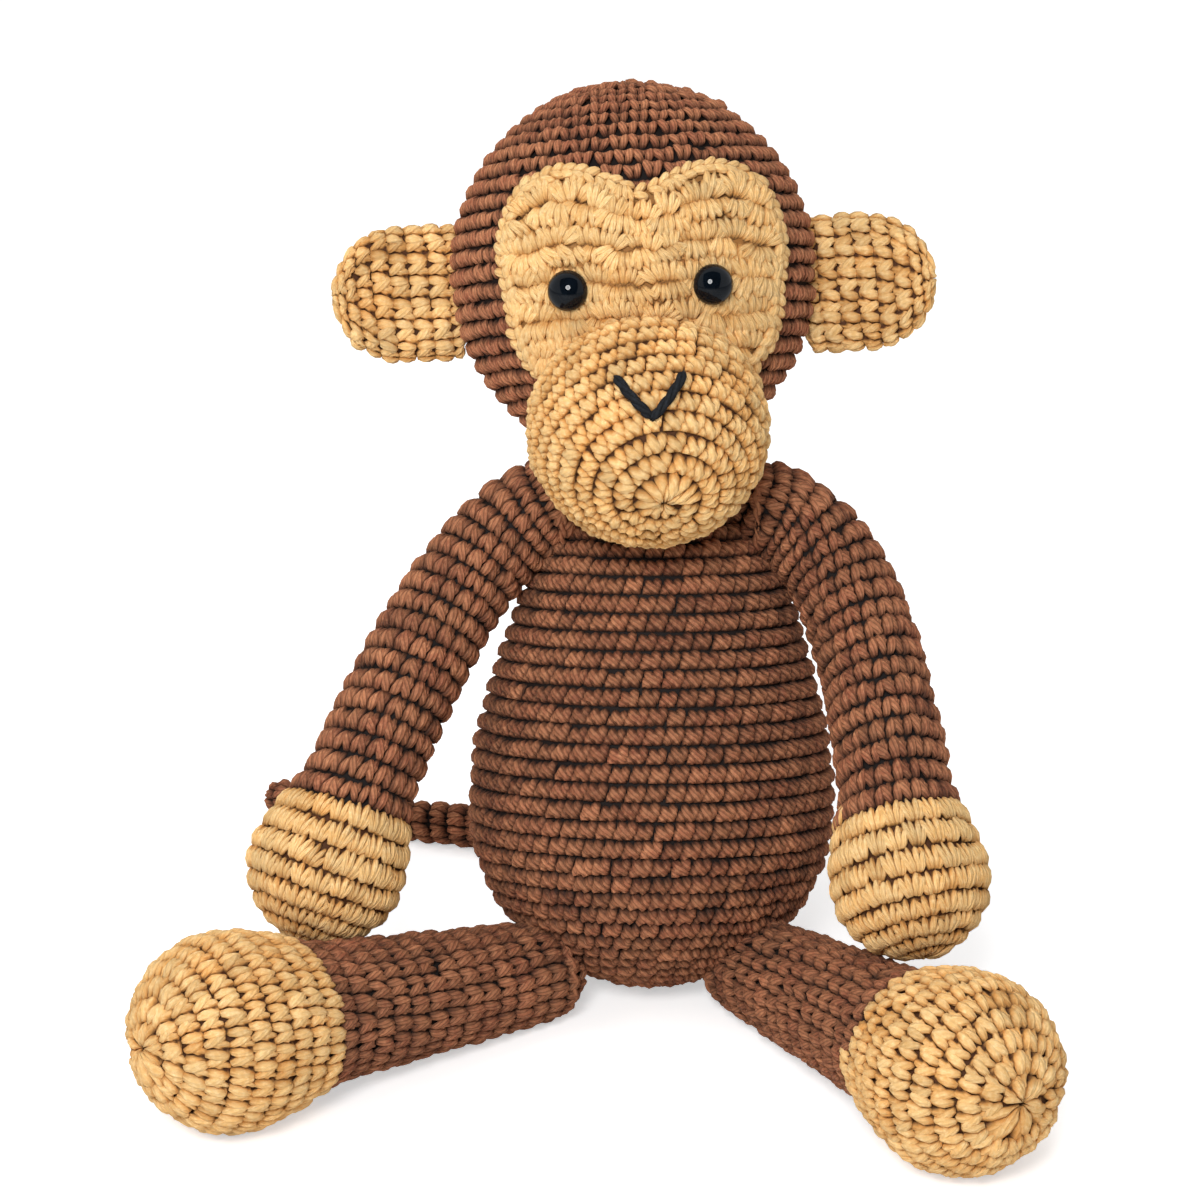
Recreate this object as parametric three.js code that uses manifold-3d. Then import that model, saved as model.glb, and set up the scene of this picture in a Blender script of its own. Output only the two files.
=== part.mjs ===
// Crocheted sitting monkey with a rattle capsule in its belly.
// Lengths are millimetres. It sits on the floor at z = 0 and faces -y; its left side is at +x.
// The origin is the middle of the flat place that it sits on.

import * as THREE from 'three';
import { mergeVertices } from 'three/addons/utils/BufferGeometryUtils.js';
import Module from 'manifold-3d';

const wasm = await Module();
wasm.setup();

const degrees = THREE.MathUtils.degToRad;

// Cloth, clearances and mesh fineness
const CLOTH = 4; // a crocheted wall with the relief of its rows
const GAP = 0.3; // between pieces that lie on each other
const SEAM_YARN = 1.6; // thickness of the flattened yarn in a seam
const FLAT_DEPTH = 0.5; // how far the toy's weight flattens it against the floor
const BODY_SIDES = 20;
const ROOT_SIDES = 16; // of the balls that the limbs turn on
const LIMB_SIDES = 12;
const INNER_SIDES = 12; // of the insides of the body and head
const SMALL_SIDES = 8;
const ARC_STEPS = 5; // steps in a quarter circle of a big form
const INNER_STEPS = 3; // the same for its inside
const CAP_STEPS = 3; // steps in a quarter circle of a limb's end
const ARM_RINGS = 8; // rings of facets along an arm
const LEG_RINGS = 7;
const TAIL_RINGS = 9;

// Body
const BODY_RADIUS = 46.8;
const BODY_LENGTH = 134; // along its axis, bottom to neck
const BODY_LEAN = degrees(18);
const BODY_ROLL = degrees(1.4); // towards its left side
const SHOULDER_HEIGHT = 110; // along the axis
const SHOULDER_RADIUS = 31.8;
const NECK_RADIUS = 12;
const BELLY_PULL = 22; // how far the belly keeps its full width
const CHEST_PULL = 22; // how far the chest keeps its own slope
const CHEST_SLOPE = 0.305; // radius lost for each millimetre of height at the shoulders
const SHOULDER_PULL = 16; // how far that slope runs on above the shoulders

// Head
const HEAD_RADIUS = 46.4;
const HEAD_HEIGHT = 96.8;
const HEAD_LEAN = degrees(20);
const HEAD_ROLL = degrees(-2.5);
const HEAD_SIDE = -4.7; // the head is sewn on a little towards the right side
const HEAD_FORWARD = 4; // the neck seam lies this far in front of the body's axis
const NECK_HOLE = 7; // radius of the opening that the stuffing goes in by

// Face patch, seen from the front of the head
const PATCH_THICKNESS = 3;
const PATCH_SHIFT = 2; // the face is sewn on a little towards the left side
const PATCH_EDGE = [ // one half of its edge, from the notch between its lobes to its bottom
  new THREE.Vector3(0, 19),
  new THREE.Vector3(7.5, 22.1),
  new THREE.Vector3(18.4, 25.2),
  new THREE.Vector3(30.3, 20),
  new THREE.Vector3(35.3, 6.3),
  new THREE.Vector3(34.3, -5.8),
  new THREE.Vector3(31, -21),
  new THREE.Vector3(18.6, -32.2),
  new THREE.Vector3(0, -36),
];

// Muzzle
const MUZZLE_RADIUS = 29.8;
const MUZZLE_HALF_HEIGHT = 28.5;
const MUZZLE_FRONT = 32; // from its widest place to its tip
const MUZZLE_BACK = 26; // from its widest place into the face
const MUZZLE_FORWARD = 40.1; // of its widest place, from the middle of the head
const MUZZLE_DROP = 39.8;
const MUZZLE_SHIFT = 1.5;
const MUZZLE_PITCH = degrees(32);
const MUZZLE_YAW = degrees(6);
const MUZZLE_CLOTH = 3.5;

// Safety eyes
const EYE_RADIUS = 5;
const EYE_DOME = 4.4;
const EYE_SPACING = 16.3;
const EYE_HEIGHT = -5.6;
const SHANK_RADIUS = 1.5;
const SHANK_LENGTH = 13;
const WASHER_RADIUS = 5.5;
const WASHER_THICKNESS = 1.6;

// Nose, two stitches of black yarn that meet in a V
const NOSE_YARN_RADIUS = 1.15;
const NOSE_SHIFT = -2;
const NOSE_HALF_WIDTH = 7.4;
const NOSE_TOP = 22.4; // above the muzzle's axis
const NOSE_POINT = 17.6;
const NOSE_STEPS = 6;

// Ears
const EAR_RADIUS = 17.4;
const EAR_REACH = 26.5; // from the hinge to the tip
const EAR_THICKNESS = 7;
const EAR_HOLLOW = 2.2; // depth of the cupped front
const EAR_HOLLOW_RADIUS = 12.5;
const EAR_HEIGHTS = { left: -5, right: -3 }; // of their middles, from the middle of the head
const EAR_TURN = degrees(-8);
const EAR_TUCK = 9; // how far its edges reach in beside the head's curve
const EAR_BEND = degrees(20); // which its edges at the head leave room for

// Arms
const ARM_RADIUS = 12.6;
const WRIST_RADIUS = 14.2;
const HAND_RADIUS = 19.8;
const WRIST_LENGTH = 26; // over which the arm swells into the hand
const HAND_CLOTH_LENGTH = 14; // of the tan rows on the arm's side of the hand's middle
const SHOULDER_SPREAD = 28.3;
const SHOULDER_FORWARD = 9.7;
const ARM_HEIGHT = 123; // along the body's axis
const LEFT_HAND = new THREE.Vector3(62, -55.5, 51.8);
const RIGHT_HAND = new THREE.Vector3(-80.8, -37.5, 46.7);
const LEFT_ARM_BOW = 27; // how far the arm first runs out from the shoulder
const RIGHT_ARM_BOW = 25;
const ARM_DROP = 13; // how far it drops in that stretch
const LEFT_WRIST_PULL = new THREE.Vector3(-5.5, 19.4, 27.7); // from the hand, where the arm comes from
const RIGHT_WRIST_PULL = new THREE.Vector3(13.6, 14.4, 30.4);

// Legs
const LEG_RADIUS = 13.1;
const ANKLE_RADIUS = 17;
const FOOT_RADIUS = 24.5;
const LEG_LENGTH = 90.4; // hip to the middle of the foot
const ANKLE_LENGTH = 34; // over which the leg swells into the foot
const FOOT_CLOTH_LENGTH = 19; // of the tan rows on the leg's side of the foot's middle
const LEFT_HIP = new THREE.Vector2(25.6, -24.4);
const RIGHT_HIP = new THREE.Vector2(-29.5, -28.6);
const LEFT_LEG_TURN = degrees(59);
const RIGHT_LEG_TURN = degrees(36);

// Tail
const TAIL_ROOT_RADIUS = 6.9;
const TAIL_TIP_RADIUS = 5.4;
const TAIL_ROOT_HEIGHT = 22; // of its root above the floor
const TAIL_ROOT_SIDE = -6;
const TAIL_TIP = new THREE.Vector2(-102.6, 92.4);
const TAIL_DROOP = 17; // how far it first runs back from the body
const TAIL_CURL = 50; // how far it runs straight before its tip
const TAIL_TURN = degrees(24.6);

// Rattle
const CAPSULE_RADIUS = 17;
const CAPSULE_WALL = 1.6;
const CAPSULE_HEIGHT = 62; // of its middle along the body's axis
const BEAD_RADIUS = 2.5;
const BEAD_RING = 6; // radius of the ring that the beads lie in
const BEADS = 4;

// Seams round the roots of the limbs, as a band on a ball, in angles from the ball's equator
const SEAM_INNER_EDGE = degrees(-64);
const SEAM_OUTER_EDGE = degrees(-37);
const SEAM_STEPS = 3;

// Moves of the limbs that the cuts beside their roots leave room for
const ARM_SWING = degrees(25);
const LEG_SWING = degrees(35);
const TAIL_SWING = degrees(30);

const FLOOR_SIZE = 600;

const finishes = {
  brownYarn: new THREE.MeshStandardMaterial({ color: 0x8a5638, roughness: 0.9, metalness: 0 }),
  tanYarn: new THREE.MeshStandardMaterial({ color: 0xe0ad6a, roughness: 0.9, metalness: 0 }),
  blackYarn: new THREE.MeshStandardMaterial({ color: 0x17181c, roughness: 0.8, metalness: 0 }),
  stuffing: new THREE.MeshStandardMaterial({ color: 0xf4f1ea, roughness: 1, metalness: 0 }),
  blackPlastic: new THREE.MeshStandardMaterial({ color: 0x08090c, roughness: 0.1, metalness: 0 }),
  whitePlastic: new THREE.MeshStandardMaterial({ color: 0xe9e7e1, roughness: 0.45, metalness: 0 }),
  bead: new THREE.MeshStandardMaterial({ color: 0xc9403a, roughness: 0.4, metalness: 0 }),
};

// A closed solid in world coordinates, from a geometry in the coordinates of a frame
function solidOf(geometry, matrix) {
  const bare = geometry.clone().applyMatrix4(matrix);
  bare.deleteAttribute('normal');
  bare.deleteAttribute('uv');
  const merged = mergeVertices(bare, 1e-4);
  const corners = merged.index.array;
  const triangles = [];
  for (let i = 0; i < corners.length; i += 3) {
    const [a, b, c] = [corners[i], corners[i + 1], corners[i + 2]];
    if (a !== b && b !== c && c !== a) {
      triangles.push(a, b, c);
    }
  }
  return new wasm.Manifold(new wasm.Mesh({
    numProp: 3,
    vertProperties: merged.attributes.position.array,
    triVerts: new Uint32Array(triangles),
  }));
}

// The biggest body of a solid, without the crumbs that cuts leave at its edges
function mainBody(solid) {
  return solid.decompose().reduce((best, body) => (body.volume() > best.volume() ? body : best));
}

// A named piece in a frame, from a solid in world coordinates
function addPiece(frame, name, solid, material) {
  const { vertProperties, triVerts } = mainBody(solid).getMesh();
  const geometry = new THREE.BufferGeometry();
  geometry.setAttribute('position', new THREE.BufferAttribute(new Float32Array(vertProperties), 3));
  geometry.setIndex(new THREE.BufferAttribute(new Uint32Array(triVerts), 1));
  geometry.applyMatrix4(frame.matrixWorld.clone().invert());
  geometry.computeVertexNormals();
  const piece = new THREE.Mesh(geometry, material);
  piece.name = name;
  frame.add(piece);
}

function addFrame(parent, position) {
  const frame = new THREE.Group();
  frame.position.copy(position);
  parent.add(frame);
  frame.updateWorldMatrix(true, false);
  return frame;
}

// A solid of revolution about the z axis, from points of (radius, height) going up
function turned(outline, sides) {
  return new THREE.LatheGeometry(outline, sides).rotateX(Math.PI / 2);
}

// A quarter of an ellipse from the axis out to its full radius, or back to the axis
function quarter(radius, height, steps, upper) {
  const points = [];
  for (let i = 0; i <= steps; i += 1) {
    const angle = (Math.PI / 2) * (upper ? i / steps : i / steps - 1);
    const onAxis = Math.abs(Math.sin(angle)) === 1;
    points.push(new THREE.Vector2(onAxis ? 0 : radius * Math.cos(angle), height * Math.sin(angle)));
  }
  return points;
}

function ball(centre, radius, sides = LIMB_SIDES) {
  const steps = Math.round(sides / 4);
  const outline = [
    ...quarter(radius, radius, steps, false),
    ...quarter(radius, radius, steps, true).slice(1),
  ];
  return solidOf(turned(outline, sides), new THREE.Matrix4().setPosition(centre));
}

const toy = new THREE.Group();
toy.name = 'monkey';

const belowFloor = solidOf(
  new THREE.BoxGeometry(FLOOR_SIZE, FLOOR_SIZE, FLOOR_SIZE),
  new THREE.Matrix4().setPosition(0, 0, -FLOOR_SIZE / 2),
);

// Frames

const bodyTurn = new THREE.Euler(-BODY_LEAN, BODY_ROLL, 0);
const bodyAxis = new THREE.Vector3(0, 0, 1).applyEuler(bodyTurn);
const bodyMiddle = new THREE.Vector3(0, 0, BODY_RADIUS - FLAT_DEPTH);
const torso = addFrame(toy, bodyMiddle.clone().addScaledVector(bodyAxis, -BODY_RADIUS));
torso.rotation.copy(bodyTurn);
torso.updateWorldMatrix(true, false);

const headAxis = new THREE.Vector3(0, 0, 1).applyEuler(new THREE.Euler(-HEAD_LEAN, HEAD_ROLL, 0));
const headClearance = SEAM_YARN + 2 * GAP;
const headCentre = torso
  .localToWorld(new THREE.Vector3(HEAD_SIDE, -HEAD_FORWARD, BODY_LENGTH))
  .addScaledVector(headAxis, HEAD_HEIGHT / 2);
const head = addFrame(toy, headCentre);
head.rotation.set(-HEAD_LEAN, HEAD_ROLL, 0);
head.updateWorldMatrix(true, false);

const muzzle = addFrame(head, new THREE.Vector3(MUZZLE_SHIFT, -MUZZLE_FORWARD, -MUZZLE_DROP));
muzzle.rotation.set(Math.PI / 2 + MUZZLE_PITCH, 0, MUZZLE_YAW, 'ZYX');
muzzle.updateWorldMatrix(true, false);

function shoulder(side) {
  const place = new THREE.Vector3(side * SHOULDER_SPREAD, -SHOULDER_FORWARD, ARM_HEIGHT);
  return addFrame(toy, torso.localToWorld(place));
}

const shoulders = { left: shoulder(1), right: shoulder(-1) };

function hip(place) {
  return addFrame(toy, new THREE.Vector3(place.x, place.y, LEG_RADIUS - FLAT_DEPTH));
}

const hips = { left: hip(LEFT_HIP), right: hip(RIGHT_HIP) };

const tailRise = bodyMiddle.z - TAIL_ROOT_HEIGHT;
const tailReach = BODY_RADIUS + TAIL_ROOT_RADIUS / 2;
const tailRoot = addFrame(toy, new THREE.Vector3(
  TAIL_ROOT_SIDE,
  Math.sqrt(tailReach ** 2 - tailRise ** 2 - TAIL_ROOT_SIDE ** 2),
  TAIL_ROOT_HEIGHT,
));

// Limbs: a tube round a path, with round ends about the path's two ends

function limb(path, radiusAt, inset, frame, rings, sides = LIMB_SIDES) {
  const length = path.getLength();
  const startRadius = radiusAt(0) - inset;
  const endRadius = radiusAt(length) - inset;
  const outline = quarter(startRadius, startRadius, CAP_STEPS, false);
  for (let i = 1; i < rings; i += 1) {
    const along = (length * i) / rings;
    outline.push(new THREE.Vector2(radiusAt(along) - inset, along));
  }
  for (const point of quarter(endRadius, endRadius, CAP_STEPS, true)) {
    outline.push(new THREE.Vector2(point.x, point.y + length));
  }
  const geometry = turned(outline, sides);
  const places = geometry.attributes.position;
  const level = new THREE.Vector3(0, 0, 1);
  for (let i = 0; i < places.count; i += 1) {
    const along = THREE.MathUtils.clamp(places.getZ(i), 0, length);
    const tangent = path.getTangentAt(along / length);
    const side = new THREE.Vector3().crossVectors(tangent, level).normalize();
    const across = new THREE.Vector3().crossVectors(tangent, side);
    const point = path.getPointAt(along / length)
      .addScaledVector(tangent, places.getZ(i) - along)
      .addScaledVector(side, places.getX(i))
      .addScaledVector(across, places.getY(i));
    places.setXYZ(i, point.x, point.y, point.z);
  }
  return solidOf(geometry, frame.matrixWorld);
}

function swelling(rootRadius, endRadius, tipRadius, length, swellLength) {
  return (along) => {
    const plain = THREE.MathUtils.lerp(rootRadius, endRadius, Math.min(along / (length - swellLength), 1));
    const share = THREE.MathUtils.smoothstep(along, length - swellLength, length);
    return THREE.MathUtils.lerp(plain, tipRadius, share);
  };
}

// Body

const bodyOutlineUpper = new THREE.CurvePath();
bodyOutlineUpper.add(new THREE.CubicBezierCurve(
  new THREE.Vector2(BODY_RADIUS, BODY_RADIUS),
  new THREE.Vector2(BODY_RADIUS, BODY_RADIUS + BELLY_PULL),
  new THREE.Vector2(SHOULDER_RADIUS + CHEST_PULL * CHEST_SLOPE, SHOULDER_HEIGHT - CHEST_PULL),
  new THREE.Vector2(SHOULDER_RADIUS, SHOULDER_HEIGHT),
));
bodyOutlineUpper.add(new THREE.QuadraticBezierCurve(
  new THREE.Vector2(SHOULDER_RADIUS, SHOULDER_HEIGHT),
  new THREE.Vector2(SHOULDER_RADIUS - SHOULDER_PULL * CHEST_SLOPE, SHOULDER_HEIGHT + SHOULDER_PULL),
  new THREE.Vector2(NECK_RADIUS, BODY_LENGTH),
));

function bodyForm(inset, sides, steps) {
  const radius = BODY_RADIUS - inset;
  const outline = quarter(radius, radius, steps, false)
    .map((point) => new THREE.Vector2(point.x, point.y + BODY_RADIUS));
  for (const curve of bodyOutlineUpper.curves) {
    for (const point of curve.getPoints(steps).slice(1)) {
      outline.push(new THREE.Vector2(point.x - inset, point.y));
    }
  }
  outline.push(new THREE.Vector2(0, BODY_LENGTH));
  return solidOf(turned(outline, sides), torso.matrixWorld);
}

// The flats of a hollow lie outside the ball that it makes room for
const hollowShare = 1 / Math.cos(Math.PI / ROOT_SIDES) ** 2;

function seamRadius(rootRadius) {
  return (rootRadius + GAP) * hollowShare;
}

function dimpleRadius(rootRadius) {
  return (seamRadius(rootRadius) + SEAM_YARN + GAP) * hollowShare;
}

const dishRadius = HEAD_HEIGHT / 2 + headClearance;
const rootBalls = [
  { centre: shoulders.left.position, radius: dimpleRadius(ARM_RADIUS) },
  { centre: shoulders.right.position, radius: dimpleRadius(ARM_RADIUS) },
  { centre: hips.left.position, radius: dimpleRadius(LEG_RADIUS) },
  { centre: hips.right.position, radius: dimpleRadius(LEG_RADIUS) },
  { centre: tailRoot.position, radius: TAIL_ROOT_RADIUS + GAP },
];

// A ball about the middle of the head, with its finest facets where it meets the neck
function dish(radius) {
  const steps = 2 * ARC_STEPS;
  const outline = [
    ...quarter(radius, radius, steps, false),
    ...quarter(radius, radius, CAP_STEPS, true).slice(1),
  ];
  const place = new THREE.Matrix4().makeRotationFromEuler(bodyTurn).setPosition(headCentre);
  return solidOf(turned(outline, LIMB_SIDES), place);
}

// What the inside of a form loses beside each root, so that the cloth keeps its thickness there
function withoutRoots(solid, extra, sides) {
  let result = solid.subtract(dish(dishRadius + extra));
  for (const { centre, radius } of rootBalls) {
    result = result.subtract(ball(centre, radius + extra, sides));
  }
  return result;
}

function neckOpening(radius) {
  const opening = new THREE.CylinderGeometry(radius, radius, HEAD_RADIUS, LIMB_SIDES)
    .rotateX(Math.PI / 2);
  return solidOf(opening.translate(HEAD_SIDE, -HEAD_FORWARD, BODY_LENGTH), torso.matrixWorld);
}

const bodyOuter = withoutRoots(bodyForm(0, BODY_SIDES, ARC_STEPS), 0, ROOT_SIDES).subtract(belowFloor);
const bodyInner = withoutRoots(bodyForm(CLOTH, INNER_SIDES, INNER_STEPS), CLOTH, LIMB_SIDES);
const bodyCover = bodyOuter.subtract(bodyInner).subtract(neckOpening(NECK_HOLE));
addPiece(torso, 'body_cover', bodyCover, finishes.brownYarn);

// Rattle: a two-part capsule in a pocket of the stuffing, loose beads inside

const capsuleFrame = addFrame(torso, new THREE.Vector3(0, 0, CAPSULE_HEIGHT));

function halfShell(upper) {
  const turn = upper ? 1 : -1;
  const innerRadius = CAPSULE_RADIUS - CAPSULE_WALL;
  const outline = [
    ...quarter(CAPSULE_RADIUS, CAPSULE_RADIUS, INNER_STEPS, true),
    ...quarter(innerRadius, innerRadius, INNER_STEPS, true).reverse(),
  ].map((point) => new THREE.Vector2(point.x, turn * (point.y + GAP / 2)));
  outline.push(outline[0].clone());
  return solidOf(turned(upper ? outline : outline.reverse(), LIMB_SIDES), capsuleFrame.matrixWorld);
}

const shellUpper = halfShell(true);
const shellLower = halfShell(false);
addPiece(capsuleFrame, 'rattle_shell_upper', shellUpper, finishes.whitePlastic);
addPiece(capsuleFrame, 'rattle_shell_lower', shellLower, finishes.whitePlastic);

const beadRest = CAPSULE_RADIUS - CAPSULE_WALL - GAP - BEAD_RADIUS;
for (let i = 0; i < BEADS; i += 1) {
  const angle = (2 * Math.PI * i) / BEADS;
  const place = new THREE.Vector3(
    BEAD_RING * Math.cos(angle),
    BEAD_RING * Math.sin(angle),
    -Math.sqrt(beadRest ** 2 - BEAD_RING ** 2),
  );
  const bead = ball(capsuleFrame.localToWorld(place), BEAD_RADIUS, SMALL_SIDES);
  addPiece(capsuleFrame, `rattle_bead_${i + 1}`, bead, finishes.bead);
}

const pocketRadius = (CAPSULE_RADIUS + GAP) * hollowShare;
const pocketTop = BODY_LENGTH - CLOTH;
function channel(radius, bottom, top) {
  const shape = new THREE.CylinderGeometry(radius, radius, top - bottom, LIMB_SIDES).rotateX(Math.PI / 2);
  return solidOf(shape.translate(0, 0, (top + bottom) / 2), torso.matrixWorld);
}
const capsulePlace = capsuleFrame.getWorldPosition(new THREE.Vector3());
const pocketBall = ball(capsulePlace, pocketRadius, ROOT_SIDES);
const pocket = pocketBall.add(channel(pocketRadius, CAPSULE_HEIGHT, pocketTop));
const insideCover = CLOTH + GAP;
const stuffingForm = withoutRoots(bodyForm(insideCover, INNER_SIDES, INNER_STEPS), insideCover, LIMB_SIDES);
addPiece(torso, 'body_stuffing', stuffingForm.subtract(pocket), finishes.stuffing);
const plug = channel(pocketRadius - GAP, CAPSULE_HEIGHT, pocketTop)
  .subtract(pocketBall)
  .intersect(stuffingForm);
addPiece(torso, 'stuffing_plug', plug, finishes.stuffing);

// Head

function headForm(offset, steps = ARC_STEPS, sides = BODY_SIDES, turn = new THREE.Matrix4()) {
  const radius = HEAD_RADIUS + offset;
  const half = HEAD_HEIGHT / 2 + offset;
  const outline = [...quarter(radius, half, steps, false), ...quarter(radius, half, steps, true).slice(1)];
  return solidOf(turned(outline, sides), turn.clone().multiply(head.matrixWorld));
}

function headPin(place, direction, radius, from, to, sides = SMALL_SIDES) {
  const turn = new THREE.Quaternion().setFromUnitVectors(new THREE.Vector3(0, 1, 0), direction);
  const rod = new THREE.CylinderGeometry(radius, radius, to - from, sides)
    .translate(0, (to + from) / 2, 0)
    .applyQuaternion(turn)
    .translate(place.x, place.y, place.z);
  return solidOf(rod, head.matrixWorld);
}

// A place on the face, seen from the front, and the direction straight out of the head there
function onFace(x, z) {
  const half = HEAD_HEIGHT / 2;
  const y = -HEAD_RADIUS * Math.sqrt(1 - (x / HEAD_RADIUS) ** 2 - (z / half) ** 2);
  const out = new THREE.Vector3(x / HEAD_RADIUS ** 2, y / HEAD_RADIUS ** 2, z / half ** 2).normalize();
  return { place: new THREE.Vector3(x, y, z), out };
}

const eyes = {
  left: onFace(EYE_SPACING + PATCH_SHIFT / 2, EYE_HEIGHT),
  right: onFace(-EYE_SPACING + PATCH_SHIFT / 2, EYE_HEIGHT),
};
const down = new THREE.Vector3(0, 0, -1);

let headCover = headForm(0)
  .subtract(headForm(-CLOTH, INNER_STEPS, INNER_SIDES))
  .subtract(headPin(new THREE.Vector3(), down, NECK_HOLE, HEAD_HEIGHT / 4, HEAD_HEIGHT));
let headStuffing = headForm(-CLOTH - GAP, INNER_STEPS, INNER_SIDES);

function muzzleForm(inset, steps = ARC_STEPS, sides = BODY_SIDES) {
  const radius = MUZZLE_RADIUS - inset;
  const outline = [
    ...quarter(radius, MUZZLE_BACK - inset, steps, false),
    ...quarter(radius, MUZZLE_FRONT - inset, steps, true).slice(1),
  ];
  const height = (MUZZLE_HALF_HEIGHT - inset) / radius;
  return solidOf(turned(outline, sides).scale(1, height, 1), muzzle.matrixWorld);
}

const patchMirrored = PATCH_EDGE.slice(1, -1)
  .reverse()
  .map((point) => new THREE.Vector3(-point.x, point.y));
const patchCurve = new THREE.CatmullRomCurve3([...PATCH_EDGE, ...patchMirrored], true);
const patchOutline = new THREE.Shape(patchCurve.getPoints(2 * patchCurve.points.length).slice(1));
const patchDepth = HEAD_RADIUS + 2 * PATCH_THICKNESS;
const patchPrism = new THREE.ExtrudeGeometry(patchOutline, {
  depth: patchDepth,
  bevelEnabled: false,
}).rotateX(Math.PI / 2).translate(PATCH_SHIFT, 0, 0);

let patch = headForm(GAP + PATCH_THICKNESS)
  .subtract(headForm(GAP))
  .intersect(solidOf(patchPrism, head.matrixWorld))
  .subtract(muzzleForm(-GAP));

for (const [side, { place, out }] of Object.entries(eyes)) {
  const seat = 2 * GAP + PATCH_THICKNESS;
  const hole = headPin(place, out, SHANK_RADIUS + GAP, -CLOTH * 2, seat + GAP);
  headCover = headCover.subtract(hole);
  patch = patch.subtract(hole);
  const turn = new THREE.Quaternion().setFromUnitVectors(new THREE.Vector3(0, 0, 1), out);
  const domeOutline = [new THREE.Vector2(0, 0), ...quarter(EYE_RADIUS, EYE_DOME, CAP_STEPS, true)];
  const dome = turned(domeOutline, LIMB_SIDES)
    .applyQuaternion(turn)
    .translate(place.x, place.y, place.z)
    .translate(out.x * seat, out.y * seat, out.z * seat);
  const flat = headPin(place, out, EYE_RADIUS + GAP, seat, seat + EYE_DOME);
  patch = patch.subtract(flat);
  const shank = headPin(place, out, SHANK_RADIUS, seat - SHANK_LENGTH, seat + GAP);
  addPiece(head, `eye_${side}`, solidOf(dome, head.matrixWorld).add(shank), finishes.blackPlastic);
  const washerTop = -CLOTH - 2 * GAP;
  const washerBed = headPin(place, out, WASHER_RADIUS + GAP, -SHANK_LENGTH, washerTop + GAP);
  headCover = headCover.subtract(washerBed);
  const washer = headPin(place, out, WASHER_RADIUS, washerTop - WASHER_THICKNESS, washerTop)
    .subtract(headPin(place, out, SHANK_RADIUS + GAP, -SHANK_LENGTH, SHANK_LENGTH));
  addPiece(head, `eye_washer_${side}`, washer, finishes.whitePlastic);
  headStuffing = headStuffing
    .subtract(headPin(place, out, WASHER_RADIUS + GAP, washerTop - WASHER_THICKNESS - GAP, 0))
    .subtract(headPin(place, out, SHANK_RADIUS + GAP, seat - SHANK_LENGTH - GAP, 0));
}

addPiece(head, 'head_cover', headCover, finishes.brownYarn);
addPiece(head, 'head_stuffing', headStuffing, finishes.stuffing);
addPiece(head, 'face_patch', patch, finishes.tanYarn);

const aroundHead = headForm(2 * GAP + PATCH_THICKNESS);
const muzzleInner = muzzleForm(MUZZLE_CLOTH, INNER_STEPS, INNER_SIDES);
const muzzleFilling = muzzleForm(MUZZLE_CLOTH + GAP, INNER_STEPS, INNER_SIDES);
addPiece(head, 'muzzle_cover', muzzleForm(0).subtract(muzzleInner).subtract(aroundHead), finishes.tanYarn);
addPiece(head, 'muzzle_stuffing', muzzleFilling.subtract(aroundHead), finishes.stuffing);

// A point just over the muzzle's surface, from its place across and above the muzzle's axis
function overMuzzle(x, y) {
  const lift = GAP + NOSE_YARN_RADIUS;
  const share = (x / MUZZLE_RADIUS) ** 2 + (y / MUZZLE_HALF_HEIGHT) ** 2;
  const z = MUZZLE_FRONT * Math.sqrt(1 - share);
  const out = new THREE.Vector3(x / MUZZLE_RADIUS ** 2, y / MUZZLE_HALF_HEIGHT ** 2, z / MUZZLE_FRONT ** 2);
  return new THREE.Vector3(x, y, z).addScaledVector(out.normalize(), lift);
}

for (const [side, sign] of [['left', 1], ['right', -1]]) {
  const from = [NOSE_SHIFT + sign * (NOSE_YARN_RADIUS + GAP), NOSE_POINT];
  const to = [NOSE_SHIFT + sign * NOSE_HALF_WIDTH, NOSE_TOP];
  const points = [];
  for (let i = 0; i <= NOSE_STEPS; i += 1) {
    const share = i / NOSE_STEPS;
    const x = THREE.MathUtils.lerp(from[0], to[0], share);
    points.push(overMuzzle(x, THREE.MathUtils.lerp(from[1], to[1], share)));
  }
  const section = new THREE.Shape().absarc(0, 0, NOSE_YARN_RADIUS, 0, 2 * Math.PI);
  const stitch = new THREE.ExtrudeGeometry(section, {
    steps: NOSE_STEPS,
    curveSegments: CAP_STEPS,
    extrudePath: new THREE.CatmullRomCurve3(points),
  });
  addPiece(muzzle, `nose_stitch_${side}`, solidOf(stitch, muzzle.matrixWorld), finishes.blackYarn);
}

const upward = new THREE.Vector3(0, 0, 1);
const leftward = new THREE.Vector3(1, 0, 0);

// Turns a form about a limb's root, to find what the limb would touch as it moves
function turnedAbout(centre, axis, angle, form) {
  const turn = new THREE.Matrix4().makeTranslation(centre)
    .multiply(new THREE.Matrix4().makeRotationAxis(axis, angle))
    .multiply(new THREE.Matrix4().makeTranslation(centre.clone().negate()));
  return form(turn);
}

// Ears: a cupped disc on a rounded root that turns beside the head

const earRootRadius = EAR_THICKNESS / 2;
const earHinge = HEAD_RADIUS + GAP + earRootRadius;

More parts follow.
